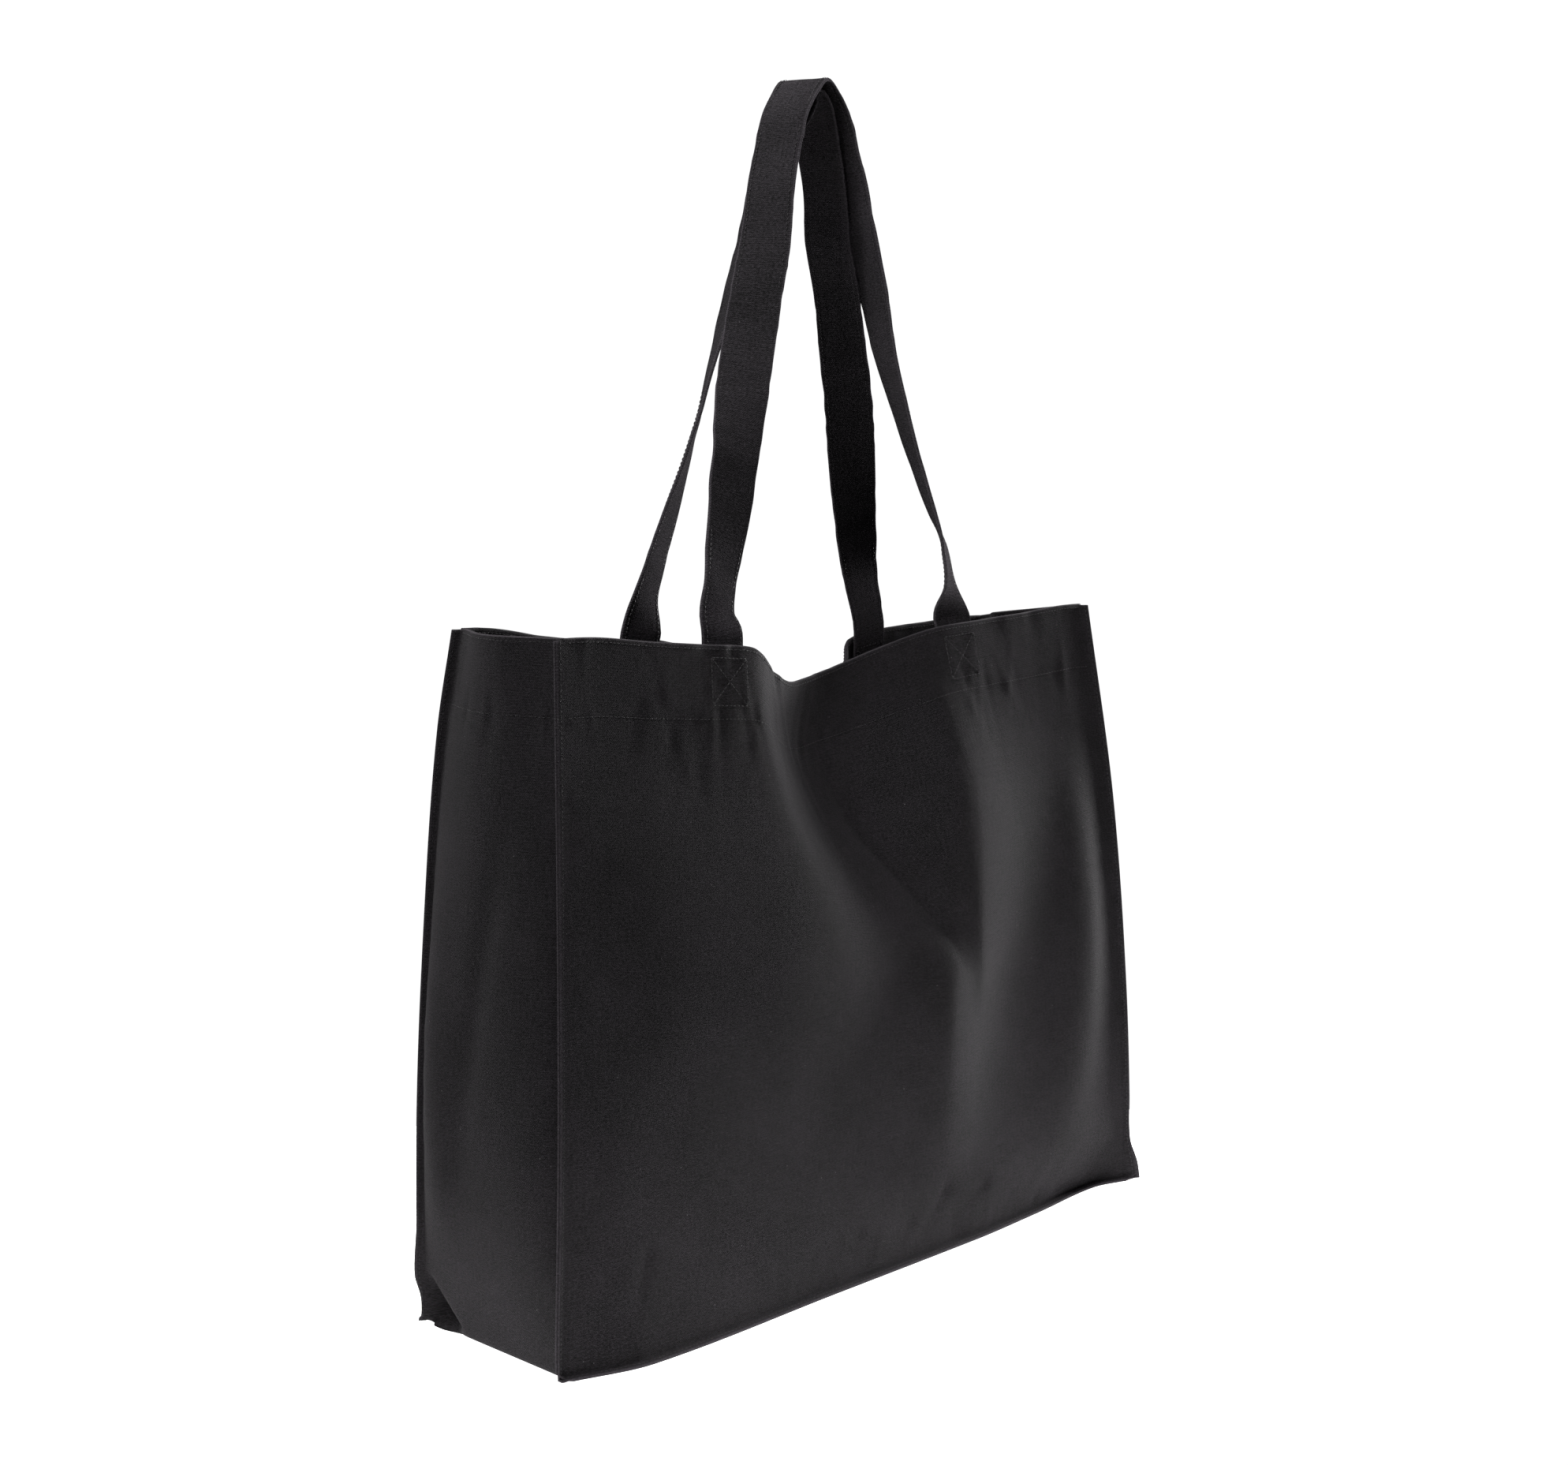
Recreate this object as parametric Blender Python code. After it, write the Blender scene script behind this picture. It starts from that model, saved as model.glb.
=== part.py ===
"""Canvas tote bag with two long shoulder handles, modelled as its real sewn pieces.

The bag stands on the floor plane z = 0, front panel towards -Y, left gusset towards -X.
Two panels and one gusset strip meet in raised pinch seams (fins). The hem is folded inwards,
each handle end is sewn flat against the inside of the hem, and every stitch line is its own piece.
Each handle loop is split from its sewn ends at the top of the hem, where it swings.
"""

import math

import bmesh
import bpy
from mathutils import Vector

# Driving dimensions, in metres.
BAG_HEIGHT = 0.390
HEM_DEPTH = 0.040
FIN_WIDTH = 0.005
STRAP_WIDTH = 0.030
STRAP_THICKNESS = 0.002
CLOTH = 0.0010
GAP = 0.0003
THREAD = 0.0005

# Clearances that follow from the cloth, measured between the middles of two layers.
SEAM_SPLIT = (CLOTH + GAP) / 2
HEM_LAYER = CLOTH + 2 * GAP
STRAP_OFFSET = HEM_LAYER + CLOTH / 2 + 2 * GAP + STRAP_THICKNESS / 2
THREAD_OFFSET = CLOTH / 2 + 2 * GAP + THREAD / 2
CORNER_RADIUS = 0.006
FLOOR_LAYER = CLOTH / 2
FLOOR_SEAM = FLOOR_LAYER + SEAM_SPLIT
HINGE_OUT = 0.0013
HINGE_LIFT = 0.0020
LOOP_CLEARANCE = 3 * GAP
TAIL_SHORT = 0.003

# Shape of the relaxed bag.
BELLY = 0.005
BULGE_HEIGHT = 0.07
FOLD_DRIFT = 0.40
FOLD_START = 0.30
HEM_FADE = 0.125
LEFT_GUSSET_BOW = 0.015
RIGHT_GUSSET_FOLD = 0.034
TOP_STITCH_DROP = 0.0030
EDGE_STITCH_INSET = 0.0025
BOX_STITCH_SIZE = 0.026

# Middle of each corner seam, keyed by side and end (-1 or +1 along Y and X): (share of the height, x, y).
CORNER_SEAMS = {
    (-1, -1): (
        (0.0, -0.2445, -0.0565), (0.33, -0.2400, -0.0565), (0.67, -0.2382, -0.0565), (1.0, -0.2380, -0.0565),
    ),
    (-1, 1): (
        (0.0, 0.2405, -0.0565), (0.33, 0.2352, -0.0542), (0.67, 0.2243, -0.0487), (1.0, 0.2058, -0.0395),
    ),
    (1, -1): (
        (0.0, -0.2475, 0.0610), (0.33, -0.2449, 0.0570), (0.67, -0.2414, 0.0507), (0.86, -0.2388, 0.0430),
        (1.0, -0.2352, 0.0332),
    ),
    (1, 1): (
        (0.0, 0.2405, 0.0575), (0.33, 0.2366, 0.0561), (0.67, 0.2246, 0.0517), (1.0, 0.2050, 0.0445),
    ),
}
SEAM_TOPS = {(-1, -1): 0.3892, (-1, 1): 0.3878, (1, -1): 0.3900, (1, 1): 0.3765}

# Hem top of each panel: (share of the cut width, x, y, z).
FRONT_HEM = (
    (0.0, -0.2380, -0.0565, 0.3895),
    (0.12, -0.1800, -0.0570, 0.3845),
    (0.20, -0.1415, -0.0575, 0.3810),
    (0.27, -0.1080, -0.0575, 0.3780),
    (0.30, -0.0965, -0.0550, 0.3735),
    (0.345, -0.0785, -0.0465, 0.3620),
    (0.40, -0.0565, -0.0365, 0.3540),
    (0.455, -0.0350, -0.0290, 0.3545),
    (0.53, -0.0030, -0.0245, 0.3600),
    (0.62, 0.0370, -0.0275, 0.3705),
    (0.70, 0.0675, -0.0368, 0.3788),
    (0.78, 0.1060, -0.0390, 0.3818),
    (1.0, 0.2058, -0.0395, 0.3880),
)
BACK_HEM = (
    (0.0, -0.2350, 0.0325, 0.3905),
    (0.13, -0.1735, 0.0365, 0.3820),
    (0.235, -0.1225, 0.0395, 0.3765),
    (0.305, -0.0895, 0.0395, 0.3755),
    (0.42, -0.0370, 0.0260, 0.3610),
    (0.50, -0.0010, 0.0170, 0.3450),
    (0.57, 0.0300, 0.0110, 0.3340),
    (0.62, 0.0490, 0.0200, 0.3400),
    (0.67, 0.0620, 0.0340, 0.3550),
    (0.72, 0.0745, 0.0425, 0.3670),
    (0.80, 0.1100, 0.0455, 0.3725),
    (1.0, 0.2050, 0.0445, 0.3765),
)
# How far the bottom edge of each panel stands out of its straight line: (share of width, metres).
FRONT_BULGE = ((0.0, 0.0), (0.10, 0.0110), (0.40, 0.0060), (0.80, -0.0020), (0.94, -0.0065), (1.0, 0.0))
BACK_BULGE = ((0.0, 0.0), (0.30, 0.0030), (0.70, 0.0040), (1.0, 0.0))

# Middle of each handle loop between its hem ends: (x, y, z, compass angle of its width in degrees).
FRONT_LOOP = (
    (-0.1254, -0.0510, 0.398, 10),
    (-0.1215, -0.0485, 0.414, 14),
    (-0.1164, -0.0462, 0.430, 7),
    (-0.1074, -0.0420, 0.461, -5),
    (-0.0987, -0.0378, 0.492, -13),
    (-0.0886, -0.0325, 0.523, -38),
    (-0.0704, -0.0240, 0.572, -50),
    (-0.0585, -0.0190, 0.603, -60),
    (-0.0474, -0.0130, 0.640, -70),
    (-0.0368, -0.0095, 0.667, -72),
    (-0.0277, -0.0070, 0.683, -70),
    (-0.0114, -0.0030, 0.6985, -66),
    (0.0028, 0.0004, 0.691, -68),
    (0.0112, 0.0009, 0.681, -74),
    (0.0179, -0.0006, 0.664, -80),
    (0.0255, -0.0036, 0.640, -90),
    (0.0329, -0.0066, 0.610, -98),
    (0.0394, -0.0108, 0.580, -104),
    (0.0438, -0.0163, 0.545, -111),
    (0.0522, -0.0210, 0.513, -119),
    (0.0627, -0.0245, 0.480, -125),
    (0.0750, -0.0282, 0.447, -135),
    (0.0822, -0.0304, 0.428, -150),
    (0.0848, -0.0330, 0.405, -166),
)
BACK_LOOP = (
    (-0.1023, 0.0355, 0.401, -160),
    (-0.0979, 0.0343, 0.417, -154),
    (-0.0876, 0.0313, 0.448, -148),
    (-0.0773, 0.0280, 0.480, -138),
    (-0.0685, 0.0243, 0.512, -131),
    (-0.0601, 0.0210, 0.543, -125),
    (-0.0507, 0.0180, 0.575, -117),
    (-0.0394, 0.0140, 0.607, -109),
    (-0.0310, 0.0095, 0.640, -96),
    (-0.0235, 0.0045, 0.666, -82),
    (-0.0175, 0.0025, 0.680, -74),
    (-0.0104, 0.0015, 0.6915, -70),
    (-0.0034, 0.0013, 0.6855, -70),
    (0.0020, 0.0028, 0.676, -72),
    (0.0086, 0.0048, 0.662, -76),
    (0.0177, 0.0088, 0.640, -78),
    (0.0239, 0.0118, 0.610, -71),
    (0.0328, 0.0138, 0.580, -69),
    (0.0418, 0.0173, 0.547, -62),
    (0.0522, 0.0220, 0.514, -48),
    (0.0606, 0.0270, 0.480, -32),
    (0.0698, 0.0330, 0.446, -15),
    (0.0749, 0.0358, 0.428, -9),
    (0.0810, 0.0385, 0.405, 2),
)
# Where each handle end is sewn, as a share of the panel's cut width.
ENDS = {"front": (0.235, 0.738), "back": (0.270, 0.757)}

BLACK_CANVAS = (0.018, 0.0165, 0.018)
BLACK_WEBBING = (0.020, 0.0185, 0.020)
BLACK_THREAD = (0.030, 0.028, 0.030)
SIDES = {"front": -1, "back": 1}
ENDS_OF_X = {"left": -1, "right": 1}
UP = Vector((0, 0, 1))
# Grids of the cloth: shares of a panel's cut width, of a gusset's cut width, and of the height.
# Each handle end is sewn inside one cell of its panel's top row, the folded hem.
FRONT_COLUMNS = (0, 0.0125, 0.06, 0.13, 0.20, 0.27, 0.30, 0.335, 0.375, 0.43, 0.50, 0.58, 0.64, 0.70, 0.775,
                 0.86, 0.94, 0.9875, 1)
BACK_COLUMNS = (0, 0.0125, 0.07, 0.15, 0.235, 0.305, 0.36, 0.43, 0.50, 0.57, 0.60, 0.63, 0.665, 0.72, 0.795,
                0.87, 0.94, 0.9875, 1)
GUSSET_COLUMNS = (0, 0.05, 0.18, 0.34, 0.5, 0.66, 0.82, 0.95, 1)
ROWS = (0, 0.0155, 0.10, 0.24, 0.38, 0.52, 0.66, 0.78, 0.895, 1)
HEM_ROW = 8
LOOP_STATIONS = 90
LOOP_STUB = 0.008


def clear_scene():
    for obj in list(bpy.data.objects):
        bpy.data.objects.remove(obj, do_unlink=True)


def material(name, colour, roughness):
    made = bpy.data.materials.get(name) or bpy.data.materials.new(name)
    made.use_nodes = True
    shader = made.node_tree.nodes["Principled BSDF"]
    shader.inputs["Base Color"].default_value = (*colour, 1)
    shader.inputs["Roughness"].default_value = roughness
    shader.inputs["Metallic"].default_value = 0
    return made


def smooth_at(knots, share):
    """A smooth curve through (share, values...) knots, read at one share."""
    share = min(max(share, knots[0][0]), knots[-1][0])
    last = len(knots) - 2
    i = next((k for k in range(last + 1) if share <= knots[k + 1][0]), last)

    def slope(k):
        low, high = max(k - 1, 0), min(k + 1, len(knots) - 1)
        run = knots[high][0] - knots[low][0]
        return [(b - a) / run for a, b in zip(knots[low][1:], knots[high][1:])]

    span = knots[i + 1][0] - knots[i][0]
    t = (share - knots[i][0]) / span
    start, end = (2 * t**3 - 3 * t**2 + 1), (3 * t**2 - 2 * t**3)
    leave, arrive = (t**3 - 2 * t**2 + t) * span, (t**3 - t**2) * span
    values = zip(knots[i][1:], knots[i + 1][1:], slope(i), slope(i + 1))
    return [start * a + end * b + leave * m + arrive * n for a, b, m, n in values]


def ease(x):
    x = min(max(x, 0), 1)
    return x * x * (3 - 2 * x)


def seam(side, end, t):
    """Middle of a vertical corner seam at height share t. side and end are -1 or +1 along Y and X."""
    x, y = smooth_at(CORNER_SEAMS[side, end], t)
    return Vector((x, y, FLOOR_SEAM + (SEAM_TOPS[side, end] - FLOOR_SEAM) * t))


def corner_frame(side, end):
    """(direction of the fin, direction from the fin's middle towards the panel) at a corner seam."""
    return Vector((end, side, 0)).normalized(), Vector((-end, side, 0)).normalized()


def edge_of_panel(side, end, t):
    return seam(side, end, t) + corner_frame(side, end)[1] * SEAM_SPLIT


def panel_point(side, u, t):
    """Middle of a panel's cloth at width share u and height share t."""
    left, right = edge_of_panel(side, -1, t), edge_of_panel(side, 1, t)
    hem = FRONT_HEM if side < 0 else BACK_HEM
    bulge = FRONT_BULGE if side < 0 else BACK_BULGE
    point = left.lerp(right, u)
    drift = -side * FOLD_DRIFT * max(ROWS[HEM_ROW] - t, 0) * math.sin(math.pi * u)
    folded = Vector(smooth_at(hem, u - drift))
    straight = seam(side, -1, 1).lerp(seam(side, 1, 1), u - drift)
    fade = ease(u / HEM_FADE) * ease((1 - u) / HEM_FADE)
    point += (folded - straight) * ease((t - FOLD_START) / (1 - FOLD_START)) * fade
    point.y += side * BELLY * math.sin(math.pi * u) * math.sin(math.pi * t)
    point.y += side * smooth_at(bulge, u)[0] * math.exp(-t * BAG_HEIGHT / BULGE_HEIGHT)
    return point


def panel_outward(side, u, t):
    """Unit vector out of the bag at a point of a panel."""
    step = 0.01
    along = panel_point(side, min(u + step, 1), t) - panel_point(side, max(u - step, 0), t)
    rise = panel_point(side, u, min(t + step, 1)) - panel_point(side, u, max(t - step, 0))
    return along.cross(rise).normalized() * -side


def gusset_point(end, v, t):
    """Middle of a gusset's cloth: v from the front seam to the back seam, t from floor to hem."""
    front = seam(-1, end, t) - corner_frame(-1, end)[1] * SEAM_SPLIT
    back = seam(1, end, t) - corner_frame(1, end)[1] * SEAM_SPLIT
    point = front.lerp(back, v)
    bow = LEFT_GUSSET_BOW if end < 0 else RIGHT_GUSSET_FOLD
    point.x -= bow * t**1.2 * math.sin(math.pi * v) ** 1.5
    return point


def add_object(name, mesh, look):
    mesh.materials.append(look)
    obj = bpy.data.objects.new(name, mesh)
    bpy.context.scene.collection.objects.link(obj)
    return obj


def cloth_sheet(name, rows, look):
    """A sheet of cloth from rows of points, with None where a row has no cloth, thickened by Solidify."""
    mesh, build = bpy.data.meshes.new(name), bmesh.new()
    grid = [[None if p is None else build.verts.new(p) for p in row] for row in rows]
    for lower, upper in zip(grid, grid[1:]):
        for corners in zip(lower, lower[1:], upper[1:], upper):
            if None not in corners:
                build.faces.new(corners)
    build.to_mesh(mesh)
    build.free()
    obj = add_object(name, mesh, look)
    solid = obj.modifiers.new("cloth", "SOLIDIFY")
    solid.thickness = CLOTH
    solid.offset = 0
    solid.use_even_offset = True
    return obj


def swept_strip(name, stations, look):
    """A closed strip through stations of (centre, half width vector, half thickness vector)."""
    mesh, build = bpy.data.meshes.new(name), bmesh.new()
    rings = []
    for centre, across, through in stations:
        corners = (-across - through, across - through, across + through, -across + through)
        rings.append([build.verts.new(centre + corner) for corner in corners])
    for ring, after in zip(rings, rings[1:]):
        for k in range(4):
            build.faces.new((ring[k], ring[(k + 1) % 4], after[(k + 1) % 4], after[k]))
    build.faces.new(reversed(rings[0]))
    build.faces.new(rings[-1])
    bmesh.ops.recalc_face_normals(build, faces=build.faces)
    build.to_mesh(mesh)
    build.free()
    return add_object(name, mesh, look)


def thread(name, points, outward, look):
    """A sewing thread through points that lie off the cloth along the outward vectors."""
    stations = []
    for i, point in enumerate(points):
        along = (points[min(i + 1, len(points) - 1)] - points[max(i - 1, 0)]).normalized()
        through = (outward[i] - along * outward[i].dot(along)).normalized() * THREAD / 2
        stations.append((point, along.cross(through), through))
    return swept_strip(name, stations, look)


def columns_of(side):
    return FRONT_COLUMNS if side < 0 else BACK_COLUMNS


def rounded_corner(side, end, share):
    """Seam where it turns from a corner down to the floor, offset to the panel (+1) or the gusset (-1)."""
    reach = CORNER_RADIUS * (1 - math.sqrt(0.5))
    split = Vector((-end / 2, side / 2, 1)).normalized() * SEAM_SPLIT * share
    return seam(side, end, 0) + Vector((-end * reach, 0, reach)) + split


def panel_grid(side):
    """Points and outward vectors of a panel, row by row from the floor, with rounded bottom corners."""
    points = [[panel_point(side, u, t) for u in columns_of(side)] for t in ROWS]
    outward = [[panel_outward(side, u, t) for u in columns_of(side)] for t in ROWS]
    for point in points[0]:
        point.z = FLOOR_SEAM + SEAM_SPLIT
    points[0][0], points[0][-1] = (rounded_corner(side, end, 1) for end in (-1, 1))
    return points, outward


def hem_fold(points, outward):
    """The folded part of a hem, from its top row: over the edge, then down the inside."""
    fold = [p - n * HEM_LAYER / 2 + UP * HEM_LAYER / 2 for p, n in zip(points[-1], outward[-1])]
    inside = [[p - n * HEM_LAYER for p, n in zip(points[k], outward[k])] for k in (-1, HEM_ROW)]
    return [[None, None, *row[1:-1], None, None] for row in (fold, *inside)]


def make_panel(name, side, look):
    points, outward = panel_grid(side)
    floor_fin = [p + Vector((0, side * FIN_WIDTH, 0)) for p in points[0]]
    left, right = (corner_frame(side, end)[0] * FIN_WIDTH for end in (-1, 1))
    rows = [[None, None, *floor_fin[1:-1], None, None], [None, *points[0], None]]
    rows += [[row[0] + left, *row, row[-1] + right] for row in points[1:]]
    return cloth_sheet(name, rows + hem_fold(points, outward), look)


def gusset_grid(end):
    """Points and outward vectors of one gusset above the bottom corner, row by row upwards."""
    points = [[gusset_point(end, v, t) for v in GUSSET_COLUMNS] for t in ROWS[1:]]
    outward = []
    for t in ROWS[1:]:
        across = [gusset_point(end, min(v + 0.02, 1), t) - gusset_point(end, max(v - 0.02, 0), t)
                  for v in GUSSET_COLUMNS]
        outward.append([a.cross(UP).normalized() * end for a in across])
    return points, outward


def with_fins(row, directions):
    front, back = directions
    return [row[0] + front * FIN_WIDTH, *row, row[-1] + back * FIN_WIDTH]


def make_gusset_strip(name, look):
    """One long strip: down the left side, under the bag and up the right side."""
    rows = []
    for end in (-1, 1):
        points, outward = gusset_grid(end)
        fins = [corner_frame(side, end)[0] for side in (-1, 1)]
        fold = [[None, *row, None] for row in (r[1:-1] for r in hem_fold(points, outward))]
        front, back = (rounded_corner(side, end, -1) for side in (-1, 1))
        corner = [None, *(front.lerp(back, v) for v in GUSSET_COLUMNS), None]
        climb = [corner, *(with_fins(row, fins) for row in points), *fold]
        rows.append(climb if end > 0 else climb[::-1])
    floor = []
    for u in FRONT_COLUMNS[1:-1:2]:
        front, back = (Vector((*panel_point(side, u, 0).xy, FLOOR_LAYER)) for side in (-1, 1))
        row = [front.lerp(back, v) for v in GUSSET_COLUMNS]
        floor.append(with_fins(row, (Vector((0, -1, 0)), Vector((0, 1, 0)))))
    return cloth_sheet(name, [*rows[0], *floor, *rows[1]], look)


def hem_patch(side, share):
    """A function that places points on the hem cell of a handle end: metres along, down and outwards."""
    columns = columns_of(side)
    points, outward = panel_grid(side)
    k = next(i for i, u in enumerate(columns) if u > share) - 1
    middle = (share - columns[k]) / (columns[k + 1] - columns[k])
    (top, top_end), (foot, foot_end) = (points[row][k:k + 2] for row in (-1, HEM_ROW))
    width, height = (top_end - top).length, (foot - top).length

    def place(along, down, out):
        u, v = middle + along / width, down / height
        across = (top_end - top).lerp(foot_end - foot, v)
        fall = (foot - top).lerp(foot_end - top_end, u)
        normal = across.cross(fall).normalized()
        normal *= math.copysign(1, normal.dot(outward[-1][k]))
        return top.lerp(top_end, u).lerp(foot.lerp(foot_end, u), v) + normal * out

    return place


def make_tail(name, side, share, look):
    """The end of a handle, sewn flat against the inside of the hem."""
    place = hem_patch(side, share)
    stations = []
    for down in (0, HEM_DEPTH / 2, HEM_DEPTH - TAIL_SHORT):
        left, right = (place(way * STRAP_WIDTH / 2, down, -STRAP_OFFSET) for way in (-1, 1))
        through = place(0, down, STRAP_THICKNESS / 2) - place(0, down, 0)
        stations.append((left.lerp(right, 0.5), (right - left) / 2, through))
    return swept_strip(name, stations, look)


def make_box_stitch(name, side, share, look):
    """A square of stitching with a cross in it, where a handle end is sewn through the hem."""
    place = hem_patch(side, share)
    half, bar = BOX_STITCH_SIZE / 2, THREAD
    middle = TOP_STITCH_DROP * 2 + half
    reach, tip, wing = half - bar, half - 3 * bar, bar * math.sqrt(2)
    mesh, build = bpy.data.meshes.new(name), bmesh.new()
    corners, holes = [], []
    for c, s in ((1, 0), (0, 1), (-1, 0), (0, -1)):
        outline = [(half, half), (reach, -tip), (reach, tip), (wing, 0)]
        turned = [(c * x - s * y, s * x + c * y) for x, y in outline]
        corner, *hole = [build.verts.new(place(x, middle + y, THREAD_OFFSET)) for x, y in turned]
        corners.append(corner)
        holes.append(hole)
    for k in range(4):
        (low, high, inner), after = holes[k], holes[(k + 1) % 4]
        build.faces.new((corners[k - 1], low, high, corners[k]))
        build.faces.new((corners[k], high, after[0]))
        build.faces.new((high, inner, after[2], after[0]))
    build.faces.new([hole[2] for hole in holes])
    bmesh.ops.recalc_face_normals(build, faces=build.faces)
    build.to_mesh(mesh)
    build.free()
    obj = add_object(name, mesh, look)
    solid = obj.modifiers.new("thread", "SOLIDIFY")
    solid.thickness = THREAD
    solid.offset = 0
    return obj


def hem_thread_points(points, outward, top):
    """Stations of a hem stitch line, a little below the top edge or a little above the hem's lower edge."""
    row, toward = (-1, HEM_ROW) if top else (HEM_ROW, -1)
    stations = []
    for k in range(1, len(points[row]) - 1):
        step = (points[toward][k] - points[row][k]).normalized() * TOP_STITCH_DROP
        stations.append(points[row][k] + step + outward[row][k] * THREAD_OFFSET)
    return stations, outward[row][1:-1]


def make_hem_stitches(look):
    grids = {name: panel_grid(side) for name, side in SIDES.items()}
    grids |= {f"{name}_gusset": gusset_grid(end) for name, end in ENDS_OF_X.items()}
    for name, (points, outward) in grids.items():
        rows = points if name in SIDES else [None, *points]
        normals = outward if name in SIDES else [None, *outward]
        for line, top in (("top", True), ("lower", False)):
            stations, out = hem_thread_points(rows, normals, top)
            thread(f"{name}_hem_{line}_stitch", stations, out, look)


def make_seam_thread(name, side, look):
    """The thread of one pinch seam: down one corner fin, along the floor fin and up the other."""
    points, _ = panel_grid(side)
    stations, outward = [], []
    for end in (-1, 1):
        fin, face = corner_frame(side, end)
        column = 0 if end < 0 else -1
        climb = [row[column] + fin * FIN_WIDTH / 2 + face * THREAD_OFFSET for row in points[1:]]
        stations.append(climb if end > 0 else climb[::-1])
        outward.append([face] * len(climb))
    lift = Vector((0, side * FIN_WIDTH / 2, THREAD_OFFSET))
    floor = [p + lift for p in points[0][1:-1]]
    return thread(name, [*stations[0], *floor, *stations[1]],
                  [*outward[0], *[UP] * len(floor), *outward[1]], look)


def loop_end(side, share):
    """Where a loop leaves the hem: its foot, the strap's half width there and the way up."""
    place = hem_patch(side, share)
    left, right = (place(way * STRAP_WIDTH / 2, -LOOP_CLEARANCE, -STRAP_OFFSET) for way in (-1, 1))
    up = (place(0, -HEM_DEPTH, -STRAP_OFFSET) - place(0, 0, -STRAP_OFFSET)).normalized()
    return left.lerp(right, 0.5), (right - left).normalized(), up


def loop_stations(name):
    """Stations (centre, width direction, outer face direction) from a loop's left end to its right end."""
    side = SIDES[name]
    left, right = (loop_end(side, share) for share in ENDS[name])
    path = list(FRONT_LOOP if side < 0 else BACK_LOOP)
    for (foot, along, up), turn in ((left, 0), (right, 180)):
        angle = math.degrees(math.atan2(along.y, along.x)) - (turn if side < 0 else 180 - turn)
        stub = [(*(foot + up * rise), angle) for rise in (0, LOOP_STUB)]
        path = path + stub[::-1] if turn else stub + path
    knots, length = [], 0
    for i, knot in enumerate(path):
        length += (Vector(knot[:3]) - Vector(path[max(i - 1, 0)][:3])).length
        knots.append((length, *knot))
    read = [smooth_at(knots, length * k / LOOP_STATIONS) for k in range(LOOP_STATIONS + 1)]
    centres = [Vector(values[:3]) for values in read]
    stations = []
    for i in range(1, LOOP_STATIONS):
        along = (centres[i + 1] - centres[i - 1]).normalized()
        angle = math.radians(read[i][3])
        across = Vector((math.cos(angle), math.sin(angle), 0))
        across = (across - along * across.dot(along)).normalized()
        stations.append((centres[i], across, across.cross(along)))
    first = (left[0], left[1] * -side, left[1].cross(left[2]) * -side)
    last = (right[0], right[1] * side, right[1].cross(right[2]) * -side)
    return [first, *stations, last]


def add_hinge(name, side, share_left, share_right):
    """An empty on the line that a loop swings about: just above the outer edge of the hem at both ends."""
    left, right = (hem_patch(side, share)(0, 0, HINGE_OUT) for share in (share_left, share_right))
    hinge = bpy.data.objects.new(f"{name}_handle_hinge", None)
    hinge.location = left.lerp(right, 0.5) + UP * HINGE_LIFT
    hinge.rotation_euler = (right - left).to_track_quat("X", "Z").to_euler()
    bpy.context.scene.collection.objects.link(hinge)
    bpy.context.view_layer.update()
    return hinge


def make_handle(name, strap_look, thread_look):
    """A handle loop above the hem, with a row of stitching along each edge of its outer face."""
    hinge = add_hinge(name, SIDES[name], *ENDS[name])
    stations = loop_stations(name)
    strap = [(c, a * STRAP_WIDTH / 2, n * STRAP_THICKNESS / 2) for c, a, n in stations]
    pieces = [swept_strip(f"{name}_handle", strap, strap_look)]
    lift = STRAP_THICKNESS / 2 + LOOP_CLEARANCE + THREAD / 2
    inset = STRAP_WIDTH / 2 - EDGE_STITCH_INSET
    outward = [n for _, _, n in stations[1:-1]]
    for label, way in (("inner", 1), ("outer", -1)):
        line = [c + a * inset * way + n * lift for c, a, n in stations[1:-1]]
        pieces.append(thread(f"{name}_handle_{label}_stitch", line, outward, thread_look))
    for piece in pieces:
        piece.parent = hinge
        piece.matrix_parent_inverse = hinge.matrix_world.inverted()


def main():
    clear_scene()
    canvas = material("black_canvas", BLACK_CANVAS, 0.92)
    webbing = material("handle_canvas", BLACK_WEBBING, 0.9)
    cotton = material("sewing_thread", BLACK_THREAD, 0.7)
    make_gusset_strip("gusset_strip", canvas)
    for name, side in SIDES.items():
        make_panel(f"{name}_panel", side, canvas)
        make_seam_thread(f"{name}_seam_thread", side, cotton)
        make_handle(name, webbing, cotton)
        for end, share in zip(ENDS_OF_X, ENDS[name]):
            make_tail(f"{name}_handle_{end}_end", side, share, webbing)
            make_box_stitch(f"{name}_handle_{end}_box_stitch", side, share, cotton)
    make_hem_stitches(cotton)


main()
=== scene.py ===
"""The looks of the canvas tote bag: fine cloth, seams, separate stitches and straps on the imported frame."""

import math

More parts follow.
